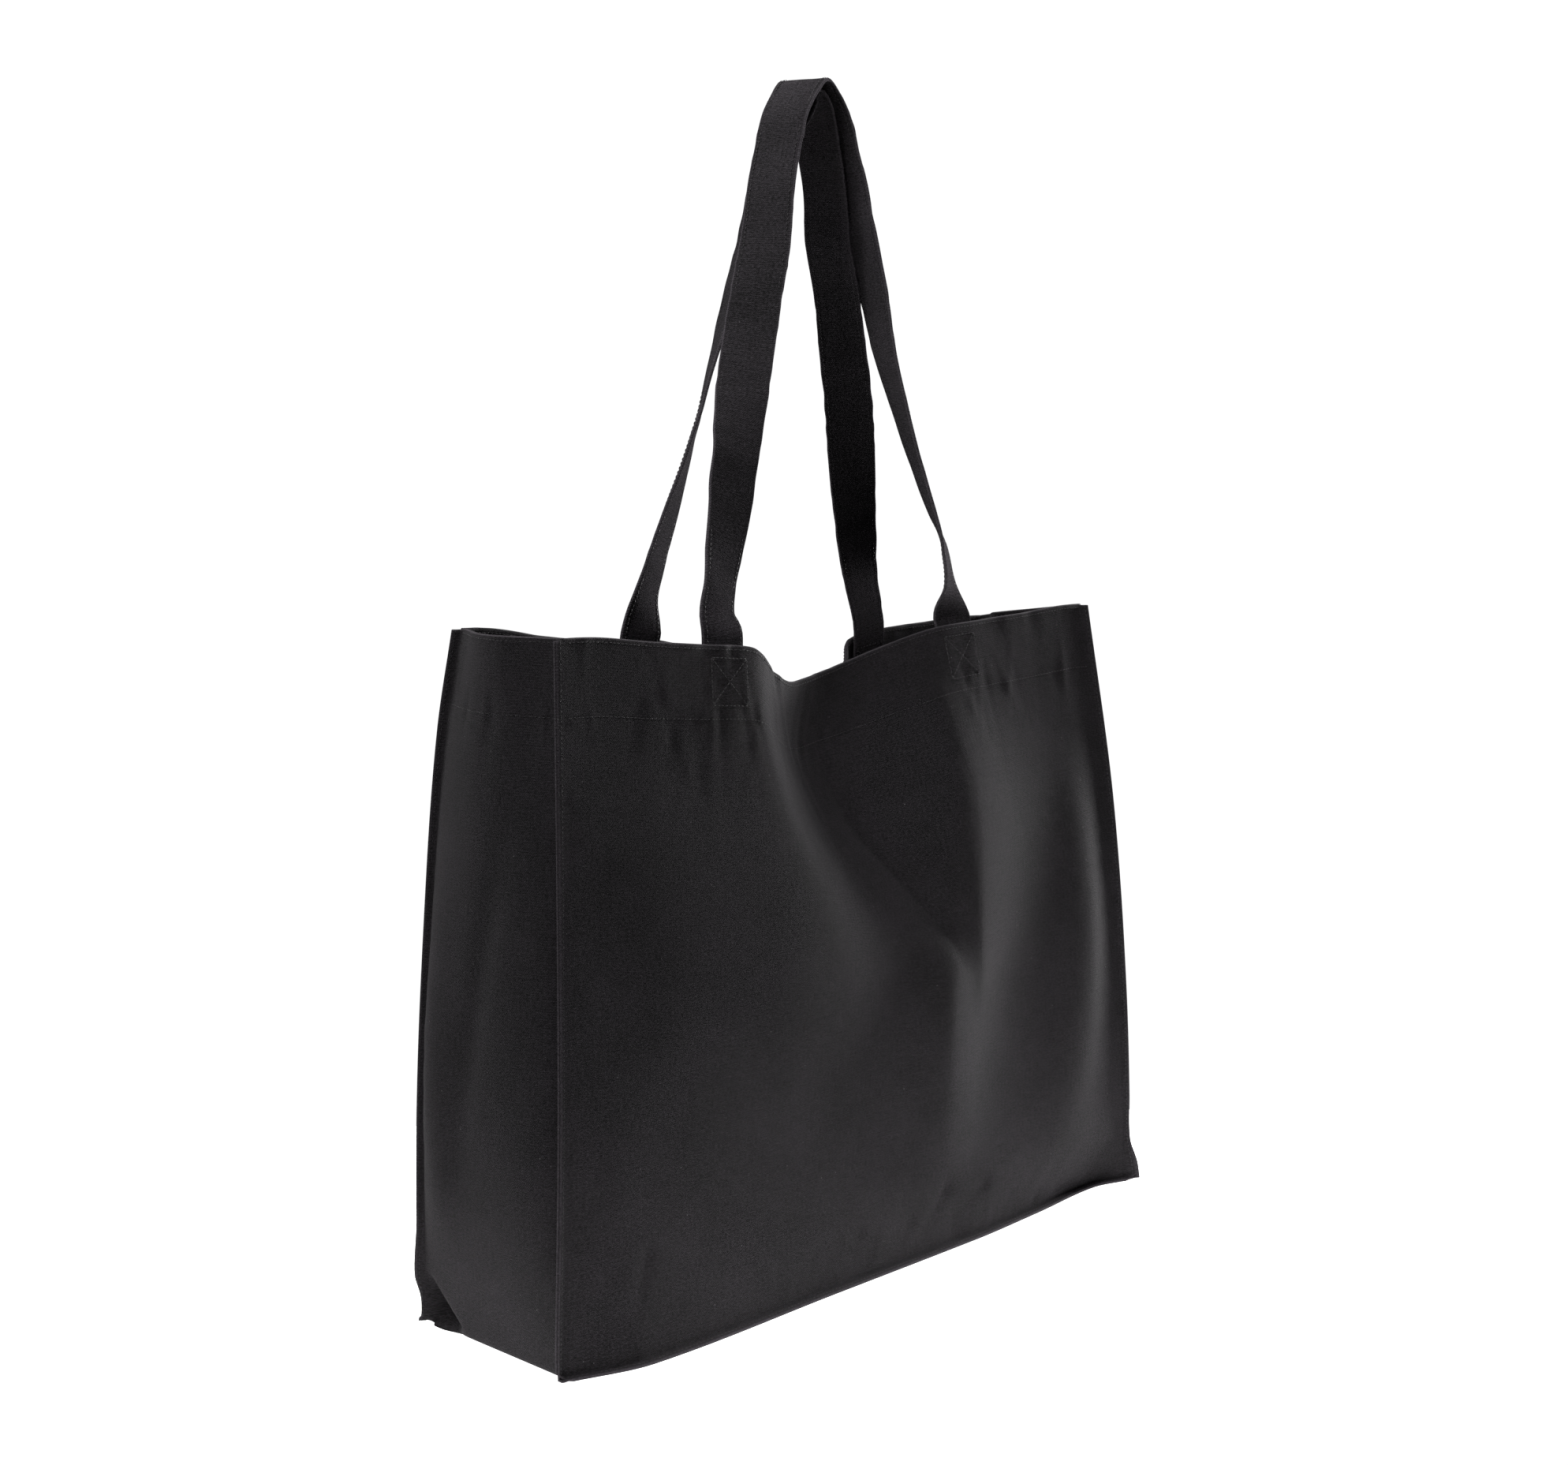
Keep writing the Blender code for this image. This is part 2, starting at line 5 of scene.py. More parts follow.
import bpy
import numpy as np
from mathutils import Euler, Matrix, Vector


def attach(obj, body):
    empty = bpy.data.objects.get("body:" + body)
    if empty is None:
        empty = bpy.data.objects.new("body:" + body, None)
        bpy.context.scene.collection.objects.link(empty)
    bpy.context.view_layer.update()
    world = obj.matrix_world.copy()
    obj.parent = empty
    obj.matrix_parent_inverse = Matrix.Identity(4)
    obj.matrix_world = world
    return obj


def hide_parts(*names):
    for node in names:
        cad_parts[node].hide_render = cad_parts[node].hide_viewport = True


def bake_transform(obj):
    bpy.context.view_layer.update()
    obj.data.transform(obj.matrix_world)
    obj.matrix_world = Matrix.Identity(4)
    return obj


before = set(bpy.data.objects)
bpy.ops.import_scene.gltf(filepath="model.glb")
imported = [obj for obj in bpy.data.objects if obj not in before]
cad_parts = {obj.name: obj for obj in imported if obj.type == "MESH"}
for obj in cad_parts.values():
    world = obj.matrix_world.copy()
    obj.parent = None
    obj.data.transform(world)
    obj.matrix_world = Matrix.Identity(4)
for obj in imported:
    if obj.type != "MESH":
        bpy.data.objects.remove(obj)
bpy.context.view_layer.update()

# Sizes in metres, the same as in the CAD part.
BAG_HEIGHT = 0.390
HEM_DEPTH = 0.040
FIN_WIDTH = 0.005
STRAP_WIDTH = 0.030
GAP = 0.0003
HEM_LAYER = 0.0016
STRAP_OFFSET = 0.0037
FLOOR_SEAM = 0.00115
BOX_STITCH_SIZE = 0.026
# Share of the height at which a hem's lower stitches run.
HEM_SHARE = 0.895

# Sizes in metres of these looks alone.
PANEL_WIDTH = 0.482
CLOTH = 0.0009
SEAM_SPLIT = (CLOTH + GAP) / 2
STRAP_THICKNESS = 0.0021
LIP_CENTRE = CLOTH * 0.6
FIN_STEPS = (1 / 3, 2 / 3, 1)
# The two ends of a row: the end's sign and the column there.
EDGES = ((-1, 0), (1, -1))

# Corner seams, keyed by side and end (-1 or +1 along Y and X): (share of the height, x, y).
CORNER_SEAMS = {
    (-1, -1): (
        (0.0, -0.2445, -0.0565), (0.33, -0.2400, -0.0565), (0.67, -0.2382, -0.0565), (1.0, -0.2380, -0.0565),
    ),
    (-1, 1): (
        (0.0, 0.2405, -0.0565), (0.33, 0.2352, -0.0542), (0.67, 0.2243, -0.0487), (1.0, 0.2058, -0.0395),
    ),
    (1, -1): (
        (0.0, -0.2475, 0.0610), (0.33, -0.2449, 0.0570), (0.67, -0.2414, 0.0507), (0.86, -0.2388, 0.0430),
        (1.0, -0.2352, 0.0332),
    ),
    (1, 1): (
        (0.0, 0.2405, 0.0575), (0.33, 0.2366, 0.0561), (0.67, 0.2246, 0.0517), (1.0, 0.2050, 0.0445),
    ),
}
SEAM_TOPS = {(-1, -1): 0.3892, (-1, 1): 0.3878, (1, -1): 0.3900, (1, 1): 0.3765}
# Compass angle of each fin at the floor and at the hem, in degrees.
FIN_ANGLES = {(-1, -1): (200, 183), (-1, 1): (-40, -38), (1, -1): (132, 140), (1, 1): (45, 45)}
# How wide each fin stands out: (share of the height, metres).
FIN_REACHES = {
    (-1, -1): ((0.0, 0.0040), (0.05, 0.0050), (1.0, 0.0050)),
    (-1, 1): ((0.0, 0.0110), (0.03, 0.0095), (0.07, 0.0050), (0.15, 0.0050), (1.0, 0.0050)),
    (1, -1): ((0.0, 0.0020), (0.035, 0.0025), (0.07, 0.0062), (0.15, 0.0050), (1.0, 0.0050)),
    (1, 1): ((0.0, 0.0050), (1.0, 0.0050)),
}

# Hem top of each panel: (share of the cut width, x, y, z).
FRONT_HEM = (
    (0.0, -0.2380, -0.0565, 0.3895), (0.12, -0.1800, -0.0570, 0.3845),
    (0.20, -0.1415, -0.0575, 0.3810), (0.27, -0.1080, -0.0575, 0.3780),
    (0.30, -0.0965, -0.0550, 0.3735), (0.345, -0.0785, -0.0465, 0.3620),
    (0.40, -0.0565, -0.0365, 0.3540), (0.455, -0.0350, -0.0290, 0.3545),
    (0.53, -0.0030, -0.0245, 0.3600), (0.62, 0.0370, -0.0275, 0.3705),
    (0.70, 0.0675, -0.0368, 0.3788), (0.78, 0.1060, -0.0390, 0.3818),
    (1.0, 0.2058, -0.0395, 0.3880),
)
BACK_HEM = (
    (0.0, -0.2350, 0.0325, 0.3905), (0.13, -0.1735, 0.0365, 0.3820),
    (0.235, -0.1225, 0.0395, 0.3765), (0.305, -0.0895, 0.0395, 0.3755),
    (0.42, -0.0370, 0.0260, 0.3610), (0.50, -0.0010, 0.0170, 0.3450),
    (0.57, 0.0300, 0.0110, 0.3340), (0.62, 0.0490, 0.0200, 0.3400),
    (0.67, 0.0620, 0.0340, 0.3550), (0.72, 0.0745, 0.0425, 0.3670),
    (0.80, 0.1100, 0.0455, 0.3725), (1.0, 0.2050, 0.0445, 0.3765),
)
HEMS = {-1: FRONT_HEM, 1: BACK_HEM}
# How far each panel flares out towards its bottom edge: (share of width, metres).
BULGES = {
    -1: ((0.0, 0.0), (0.10, 0.0130), (0.40, 0.0085), (0.80, 0.0030), (0.94, 0.0), (1.0, 0.0)),
    1: ((0.0, 0.0), (0.30, 0.0030), (0.70, 0.0040), (1.0, 0.0)),
}
# How far the bottom edge tucks back under: (share of width, metres).
TUCKS = {
    -1: ((0.0, 0.0), (0.66, 0.0), (0.80, 0.0035), (0.94, 0.0075), (1.0, 0.0)),
    1: ((0.0, 0.0), (1.0, 0.0)),
}
# The trough that runs down from the dip of each hem: (share of height, left shoulder, bottom, right crest,
# depth share). The three places are shares of the cut width.
TROUGHS = {
    -1: (
        (0.00, 0.48, 0.64, 0.67, 0.00), (0.34, 0.46, 0.64, 0.67, 0.00), (0.43, 0.42, 0.628, 0.670, 0.10),
        (0.51, 0.39, 0.608, 0.674, 0.24), (0.58, 0.36, 0.580, 0.678, 0.38), (0.66, 0.33, 0.540, 0.684, 0.54),
        (0.76, 0.30, 0.490, 0.696, 0.76), (0.895, 0.28, 0.462, 0.710, 0.96), (1.00, 0.27, 0.500, 0.720, 1.00),
    ),
    1: (
        (0.00, 0.35, 0.50, 0.62, 0.00), (0.28, 0.35, 0.50, 0.62, 0.00), (0.50, 0.33, 0.52, 0.66, 0.30),
        (0.70, 0.31, 0.55, 0.69, 0.66), (0.895, 0.305, 0.565, 0.70, 0.96), (1.00, 0.305, 0.57, 0.70, 1.00),
    ),
}

# Middle of each handle loop between its hem ends: (x, y, z, compass angle of its width in degrees).
FRONT_LOOP = (
    (-0.1254, -0.0510, 0.398, 10), (-0.1215, -0.0485, 0.414, 14), (-0.1164, -0.0462, 0.430, 7),
    (-0.1074, -0.0420, 0.461, -5), (-0.0987, -0.0378, 0.492, -13), (-0.0886, -0.0325, 0.523, -38),
    (-0.0704, -0.0240, 0.572, -50), (-0.0585, -0.0190, 0.603, -60), (-0.0474, -0.0130, 0.640, -70),
    (-0.0368, -0.0095, 0.667, -72), (-0.0277, -0.0070, 0.683, -70), (-0.0114, -0.0030, 0.6985, -66),
    (0.0028, 0.0004, 0.691, -68), (0.0112, 0.0009, 0.681, -74), (0.0179, -0.0006, 0.664, -80),
    (0.0255, -0.0036, 0.640, -90), (0.0329, -0.0066, 0.610, -98), (0.0394, -0.0108, 0.580, -104),
    (0.0438, -0.0163, 0.545, -111), (0.0522, -0.0210, 0.513, -119), (0.0627, -0.0245, 0.480, -125),
    (0.0750, -0.0282, 0.447, -131), (0.0822, -0.0304, 0.428, -142), (0.0848, -0.0330, 0.405, -150),
)
BACK_LOOP = (
    (-0.1023, 0.0355, 0.401, -160), (-0.0979, 0.0343, 0.417, -154), (-0.0876, 0.0313, 0.448, -148),
    (-0.0773, 0.0280, 0.480, -138), (-0.0685, 0.0243, 0.512, -131), (-0.0601, 0.0210, 0.543, -125),
    (-0.0507, 0.0180, 0.575, -117), (-0.0394, 0.0140, 0.607, -109), (-0.0310, 0.0095, 0.640, -96),
    (-0.0235, 0.0045, 0.666, -82), (-0.0175, 0.0025, 0.680, -74), (-0.0104, 0.0015, 0.6915, -70),
    (-0.0034, 0.0013, 0.6855, -70), (0.0020, 0.0028, 0.676, -72), (0.0086, 0.0048, 0.662, -76),
    (0.0177, 0.0088, 0.640, -78), (0.0239, 0.0118, 0.610, -71), (0.0328, 0.0138, 0.580, -69),
    (0.0418, 0.0173, 0.547, -62), (0.0522, 0.0220, 0.514, -48), (0.0606, 0.0270, 0.480, -32),
    (0.0698, 0.0330, 0.446, -15), (0.0749, 0.0358, 0.428, -9), (0.0810, 0.0385, 0.405, 2),
)
LOOPS = {"front": FRONT_LOOP, "back": BACK_LOOP}
HANDLE_ENDS = {"front": (0.235, 0.738), "back": (0.270, 0.757)}
SIDES = {"front": -1, "back": 1}
GUSSETS = {"left": -1, "right": 1}
UP = np.array((0.0, 0.0, 1.0))


def ease(x):
    x = np.clip(x, 0, 1)
    return x * x * (3 - 2 * x)


def bell(x, centre, width):
    return np.exp(-(((x - centre) / width) ** 2))


def along_knots(knots, share):
    """A smooth curve through (share, values...) knots, read at an array of shares."""
    knots = np.asarray(knots, float)
    at, values = knots[:, 0], knots[:, 1:]
    share = np.clip(np.asarray(share, float), at[0], at[-1])
    low = np.maximum(np.arange(len(at)) - 1, 0)
    high = np.minimum(np.arange(len(at)) + 1, len(at) - 1)
    slope = (values[high] - values[low]) / (at[high] - at[low])[:, None]
    i = np.clip(np.searchsorted(at, share, side="right") - 1, 0, len(at) - 2)
    span = at[i + 1] - at[i]
    t = ((share - at[i]) / span)[..., None]
    span = span[..., None]
    start, end = 2 * t**3 - 3 * t**2 + 1, 3 * t**2 - 2 * t**3
    leave, arrive = (t**3 - 2 * t**2 + t) * span, (t**3 - t**2) * span
    return start * values[i] + end * values[i + 1] + leave * slope[i] + arrive * slope[i + 1]


def unit(v):
    return v / np.maximum(np.linalg.norm(v, axis=-1, keepdims=True), 1e-12)


def seam(side, end, t):
    """Points of a corner seam at an array of height shares."""
    t = np.asarray(t, float)
    xy = along_knots(CORNER_SEAMS[side, end], t)
    z = FLOOR_SEAM + (SEAM_TOPS[side, end] - FLOOR_SEAM) * t
    return np.concatenate([xy, z[..., None]], axis=-1)


def corner_sides(side, end):
    """Direction from a corner seam's middle towards the panel's own layer."""
    return unit(np.array((-end, side, 0.0)))


def fin_direction(side, end, t):
    low, high = FIN_ANGLES[side, end]
    angle = np.radians(low + (high - low) * ease(np.asarray(t, float)))
    return np.stack([np.cos(angle), np.sin(angle), np.zeros_like(angle)], axis=-1)


def fin_steps(side, end, t):
    """Steps from a seam out to its fin's edge, at an array of height shares."""
    reach = along_knots(FIN_REACHES[side, end], t) * np.array(FIN_STEPS)
    return fin_direction(side, end, t)[:, None] * reach[..., None]


def hem_shift(side, share):
    """From the straight line between a panel's seams to its hem top, at an array of width shares."""
    across = share[..., None]
    return along_knots(HEMS[side], share) - seam(side, -1, 1.0) * (1 - across) - seam(side, 1, 1.0) * across


def trough_depth(side, u, t):
    """How far the trough under the dip of a hem moves the cloth inwards."""
    shoulder, bottom, crest, depth = np.moveaxis(along_knots(TROUGHS[side], t), -1, 0)
    top = TROUGHS[side][-1]
    # Each height's own shoulder, bottom and crest are carried to those of the hem.
    places = (0, shoulder, bottom, crest, 1)
    shares = (0, *top[1:4], 1)
    warped = np.zeros_like(u)
    for k in range(4):
        warped += np.clip((u - places[k]) / (places[k + 1] - places[k]), 0, 1) * (shares[k + 1] - shares[k])
    return hem_shift(side, warped)[..., 1] * depth


# Long folds of the front panel: rows of (height, x of the crest, metres outwards, reach left, reach right).
FRONT_FOLDS = (
    (
        (0.03, 0.058, 0.0, 0.030, 0.030), (0.09, 0.050, 0.0110, 0.036, 0.044),
        (0.15, 0.047, 0.0170, 0.034, 0.056), (0.20, 0.058, 0.0200, 0.042, 0.066),
        (0.25, 0.062, 0.0200, 0.046, 0.072), (0.29, 0.064, 0.0165, 0.046, 0.066),
        (0.34, 0.062, 0.0070, 0.046, 0.050), (0.38, 0.060, 0.0015, 0.046, 0.044),
    ),
    (
        (0.01, 0.170, 0.0, 0.030, 0.028), (0.05, 0.180, 0.0055, 0.036, 0.030),
        (0.10, 0.190, 0.0095, 0.036, 0.026), (0.17, 0.197, 0.0115, 0.034, 0.021),
        (0.24, 0.193, 0.0085, 0.030, 0.018), (0.31, 0.186, 0.0, 0.028, 0.016),
    ),
    (
        (0.15, -0.214, 0.0, 0.012, 0.016), (0.20, -0.214, -0.0030, 0.012, 0.018),
        (0.24, -0.216, -0.0034, 0.012, 0.016), (0.28, -0.222, 0.0, 0.012, 0.014),
    ),
    (
        (0.06, -0.02, 0.0, 0.080, 0.070), (0.13, -0.02, 0.0035, 0.110, 0.080),
        (0.22, -0.06, 0.0020, 0.100, 0.060), (0.30, -0.12, 0.0, 0.080, 0.060),
    ),
)
# Short grooves of the front panel: x and z of the upper end, x and z of the lower end, and depth.
FRONT_GROOVES = (
    (0.056, 0.035, 0.034, 0.014, 0.0026), (0.092, 0.030, 0.056, 0.013, 0.0030),
    (0.021, 0.022, 0.005, 0.004, 0.0020), (0.119, 0.017, 0.093, 0.005, 0.0020),
    (-0.022, 0.026, -0.045, 0.006, 0.0020), (-0.063, 0.019, -0.074, 0.008, 0.0016),
    (-0.232, 0.038, -0.238, 0.004, 0.0014), (-0.188, 0.054, -0.200, 0.022, 0.0020),
    (-0.147, 0.341, -0.147, 0.303, 0.0008), (-0.162, 0.345, -0.170, 0.318, 0.0009),
    (-0.187, 0.350, -0.193, 0.329, 0.0009),
)
GROOVE_WIDTH = 0.0045
GROOVE_TAPER = 0.5
# Round swells and dents of each panel: (metres outwards, x, z, reach along x, reach up, lean of x with z).
SWELLS = {
    -1: ((-0.0012, 0.168, 0.25, 0.016, 0.07, 0.0),),
    1: (
        (0.0060, -0.12, 0.17, 0.06, 0.11, 0.0), (0.0055, 0.13, 0.20, 0.05, 0.10, 0.0),
        (-0.0040, 0.08, 0.20, 0.02, 0.09, 0.4),
    ),
}
# The broad belly of the front panel. It starts at the left seam and rises more slowly round one height.
BELLY_HEIGHT = 0.0165
BELLY_START = -0.2385
BELLY_SPAN = 0.135
BELLY_FADE = 0.125
BELLY_LEVEL = (0.190, 0.085)
BELLY_RISE = 0.012
SLOW_RISE = 0.022
SLOW_LEVEL = (0.220, 0.045)
# The low swell along the bottom of the front's right half.
SKIRT_HEIGHT = 0.0050
SKIRT_START = 0.05
SKIRT_RUN = 0.08
SKIRT_LEVEL = (0.033, 0.017)
# The crease down the front's trough, off the trough's bottom by CREASE_PLACE, with streaks left of it.
CREASE_DEPTH = 0.0078
CREASE_PLACE = 0.004
CREASE_REACHES = (0.012, 0.026)
CREASE_LEVEL = (0.63, 0.21)
CREASE_START = 0.44
CREASE_RUN = 0.14
STREAK_DEPTH = 0.00028
STREAK_PITCHES = (0.012, 0.019)
STREAK_PLACE = (-0.022, 0.020)
STREAK_LEVEL = (0.83, 0.15)
# How a panel hangs: its folds drift sideways below the hem, and start to follow the hem at HANG_START.
FOLD_DRIFT = 0.40
HANG_START = 0.30
BULGE_HEIGHT = 0.048
TUCK_HEIGHT = 0.016
SEAM_HOLD = 8
RELIEF_ROUNDING = 0.35


def fold_relief(x, z, folds):
    relief = np.zeros_like(x)
    for rows in folds:
        crest, height, left, right = np.moveaxis(along_knots(rows, z), -1, 0)
        away = x - crest
        relief += height * bell(away, 0, np.where(away < 0, left, right))
    return relief


def groove_relief(x, z, grooves):
    relief = np.zeros_like(x)
    for x0, z0, x1, z1, depth in grooves:
        run = np.array((x1 - x0, z1 - z0))
        place = ((x - x0) * run[0] + (z - z0) * run[1]) / (run @ run)
        held = np.clip(place, 0, 1)
        away = np.hypot(x - x0 - run[0] * held, z - z0 - run[1] * held)
        relief -= depth * bell(away, 0, GROOVE_WIDTH) * (1 - GROOVE_TAPER * held)
    return relief


def swell_relief(x, z, swells):
    relief = np.zeros_like(x)
    for height, middle, level, wide, tall, lean in swells:
        relief += height * bell(x - lean * (z - level), middle, wide) * bell(z, level, tall)
    return relief


def front_folds(x, z):
    """The folds, grooves, belly and skirt of the front panel, in metres outwards."""
    relief = fold_relief(x, z, FRONT_FOLDS) + groove_relief(x, z, FRONT_GROOVES)
    near = np.maximum(x - BELLY_START, 0)
    rise = BELLY_RISE + SLOW_RISE * bell(z, *SLOW_LEVEL)
    broad = bell(np.maximum(near - BELLY_SPAN, 0), 0, BELLY_FADE)
    relief += BELLY_HEIGHT * broad * (1 - np.exp(-near / rise)) * bell(z, *BELLY_LEVEL)
    return relief + SKIRT_HEIGHT * ease((x - SKIRT_START) / SKIRT_RUN) * bell(z, *SKIRT_LEVEL)


def crease_relief(u, t):
    """The crease down the front's trough and the faint streaks beside it, in metres inwards."""
    roll = (u - along_knots(TROUGHS[-1], t)[..., 1]) * PANEL_WIDTH
    reach = np.where(roll < CREASE_PLACE, *CREASE_REACHES)
    crease = np.exp(-np.abs(roll - CREASE_PLACE) / reach) * bell(t, *CREASE_LEVEL)
    relief = CREASE_DEPTH * crease * ease((t - CREASE_START) / CREASE_RUN)
    fine, coarse = (roll * 2 * math.pi / pitch for pitch in STREAK_PITCHES)
    streaks = np.sin(fine) + 0.6 * np.sin(coarse + 9 * t)
    return relief + STREAK_DEPTH * streaks * bell(roll, *STREAK_PLACE) * bell(t, *STREAK_LEVEL)


def panel_surface(side, u, t):
    """Middle of a panel's outer cloth at arrays of width share u and height share t."""
    left = seam(side, -1, t) + corner_sides(side, -1) * SEAM_SPLIT
    right = seam(side, 1, t) + corner_sides(side, 1) * SEAM_SPLIT
    point = left + (right - left) * u[..., None]
    lean = FOLD_DRIFT * np.maximum(HEM_SHARE - t, 0) * np.sin(np.pi * u) * -side
    free = ease(SEAM_HOLD * u) * ease(SEAM_HOLD * (1 - u))
    pull = ease((t - HANG_START) / (1 - HANG_START)) * free
    shift = hem_shift(side, np.clip(u - lean, 0, 1)) * pull[..., None]
    point[..., 0] += shift[..., 0]
    point[..., 2] += shift[..., 2]
    point[..., 1] += trough_depth(side, u, t) * free
    x, z = point[..., 0], point[..., 2]
    relief = swell_relief(x, z, SWELLS[side])
    if side < 0:
        relief += front_folds(x, z)
    inside = np.sin(np.pi * np.clip(u, 0, 1)) ** RELIEF_ROUNDING * ease(6 * t) * ease(5 * (1.02 - t))
    point[..., 1] += side * relief * inside
    bulge, tuck = (along_knots(knots[side], u)[..., 0] for knots in (BULGES, TUCKS))
    point[..., 1] += side * bulge * np.exp(-t * BAG_HEIGHT / BULGE_HEIGHT)
    point[..., 1] -= side * tuck * np.exp(-((t * BAG_HEIGHT / TUCK_HEIGHT) ** 2))
    if side < 0:
        point[..., 1] += crease_relief(u, t)
    return point


def surface_normals(points):
    """Unit normals of a grid of points, along its row direction crossed with its column direction."""
    return unit(np.cross(np.gradient(points, axis=1), np.gradient(points, axis=0)))


def spaced(parts):
    """Shares from (start, end, count) runs, joined without doubling their shared ends."""
    runs = [np.linspace(a, b, n + 1)[:-1] for a, b, n in parts]
    return np.concatenate([*runs, [parts[-1][1]]])


def random_for(name):
    return np.random.default_rng(sum(ord(c) * (i + 1) for i, c in enumerate(name)))


def ripples(rng, along, away, reach, pitch, height, lean=0.0):
    """Small puckers across a stitch line: bells of random place, width and height that fade off it."""
    wave = np.zeros_like(along)
    start, stop = along.min(), along.max()
    count = max(1, int((stop - start) / pitch))
    for _ in range(count):
        place = rng.uniform(start, stop)
        width = rng.uniform(0.25, 0.6) * pitch
        size = rng.uniform(-1, 1) * height
        slant = rng.uniform(-0.4, 0.4) + lean
        fade = rng.uniform(0.5, 1.3) * reach
        wave += size * bell(along - slant * away, place, width) * np.exp(-np.abs(away) / fade)
    return wave


def scene_object(name, data):
    obj = bpy.data.objects.new(name, data)
    bpy.context.scene.collection.objects.link(obj)
    return obj


def build_mesh(name, vertices, faces, attributes, look):
    mesh = bpy.data.meshes.new(name)
    mesh.from_pydata(vertices.tolist(), [], faces)
    for label, values in attributes.items():
        kind, field = ("FLOAT_VECTOR", "vector") if values.ndim == 2 else ("FLOAT", "value")
        layer = mesh.attributes.new(label, kind, "POINT")
        layer.data.foreach_set(field, values.astype(np.float32).ravel())
    mesh.materials.append(look)
    mesh.shade_smooth()
    return scene_object(name, mesh)


def cloth_object(name, grid, cut, wear, look):
    """A cloth sheet from a grid of points, with NaN for no cloth. cut is each point's place when flat."""
    there = np.isfinite(grid[..., 0])
    index = np.full(there.shape, -1)
    index[there] = np.arange(there.sum())
    quads = np.stack([index[:-1, :-1], index[:-1, 1:], index[1:, 1:], index[1:, :-1]], axis=-1).reshape(-1, 4)
    quads = quads[(quads >= 0).all(axis=1)].tolist()
    flat = np.concatenate([cut[there], np.zeros((there.sum(), 1))], axis=1)
    obj = build_mesh(name, grid[there], quads, {"cloth": flat, "wear": wear[there]}, look)
    solid = obj.modifiers.new("thickness", "SOLIDIFY")
    solid.thickness = CLOTH
    solid.offset = 0
    solid.use_even_offset = True
    return obj


PANEL_U = spaced(((0, 0.02, 4), (0.02, 0.98, 200), (0.98, 1, 4)))
PANEL_T = spaced(((0, 0.03, 6), (0.03, 0.87, 144), (0.87, 1.0, 34)))
# Outer tips of the square ears at the bottom corners.
EAR_TIPS = {
    (-1, -1): (-0.2480, -0.0610, 0.0012), (-1, 1): (0.2520, -0.0600, 0.0014),
    (1, -1): (-0.2505, 0.0625, 0.0012), (1, 1): (0.2450, 0.0625, 0.0012),
}
# Distance over which the puckers fade out to the edges of a cloth.
PUCKER_EDGE = 0.006
# The hem's turn over the top edge: its angles in degrees, its rise as a share of its radius, and how far
# below the lower stitches its inner layer ends, as a share of the height.
TURN_ANGLES = (30, 60, 90, 120, 150)
TURN_RISE = 0.7
HEM_UNDERLAP = 0.004
TURN_WEAR = 0.7


def panel_puckers(name, u, t):
    """Small outward waves of a panel along its hem stitches, seams and floor edge, in metres."""
    rng = random_for(name)
    along, up = u * PANEL_WIDTH, t * BAG_HEIGHT
    wave = ripples(rng, along, up - HEM_SHARE * BAG_HEIGHT, 0.022, 0.007, 0.0007)
    wave += ripples(rng, along, up - BAG_HEIGHT, 0.015, 0.010, 0.0007)
    wave += ripples(rng, along, up, 0.018, 0.012, 0.0008, lean=0.6)
    wave += ripples(rng, up, along, 0.012, 0.010, 0.0007)
    wave += ripples(rng, up, PANEL_WIDTH - along, 0.012, 0.010, 0.0007)
    for inset in (along, PANEL_WIDTH - along, up):
        wave *= ease(inset / PUCKER_EDGE)
    return wave


def panel_points(name, side):
    """A panel's outer layer from floor seam to hem top, with its outward normals."""
    u, t = np.meshgrid(PANEL_U, PANEL_T)
    points = panel_surface(side, u, t)
    outward = surface_normals(points) * -side
    return points + outward * panel_puckers(name, u, t)[..., None], outward


def hem_turn(points, outward, shares):
    """The hem's fold over the top edge and its inner layer down to the lower stitches."""
    top, out = points[-1], outward[-1]
    radius = HEM_LAYER / 2
    rows = []
    for angle in np.radians(TURN_ANGLES):
        rows.append(top - out * radius * (1 - math.cos(angle)) + UP * radius * TURN_RISE * math.sin(angle))
    first = np.searchsorted(shares, HEM_SHARE - HEM_UNDERLAP)
    inner = [points[k] - outward[k] * HEM_LAYER for k in range(len(points) - 1, first - 1, -1)]
    return np.stack(rows + inner)


def floor_lip(side, row):
    """The lip along the floor below a panel's lowest row, with a square ear where it meets each fin."""
    out = np.array((0.0, side, 0.0)) * FIN_WIDTH
    count = len(FIN_STEPS)
    lip = []
    for step in FIN_STEPS[::-1]:
        low = row + out * step
        for end in (-1, 1):
            tip = np.array(EAR_TIPS[side, end])
            for j, share in enumerate(FIN_STEPS):
                place = count - 1 - j if end < 0 else len(row) - count + j
                low[place] = row[place] + (tip - row[place]) * step * share + out * step * (1 - share)
        lip.append(low)
    lip = np.stack(lip)
    lip[..., 2] = np.maximum(lip[..., 2], LIP_CENTRE)
    return lip


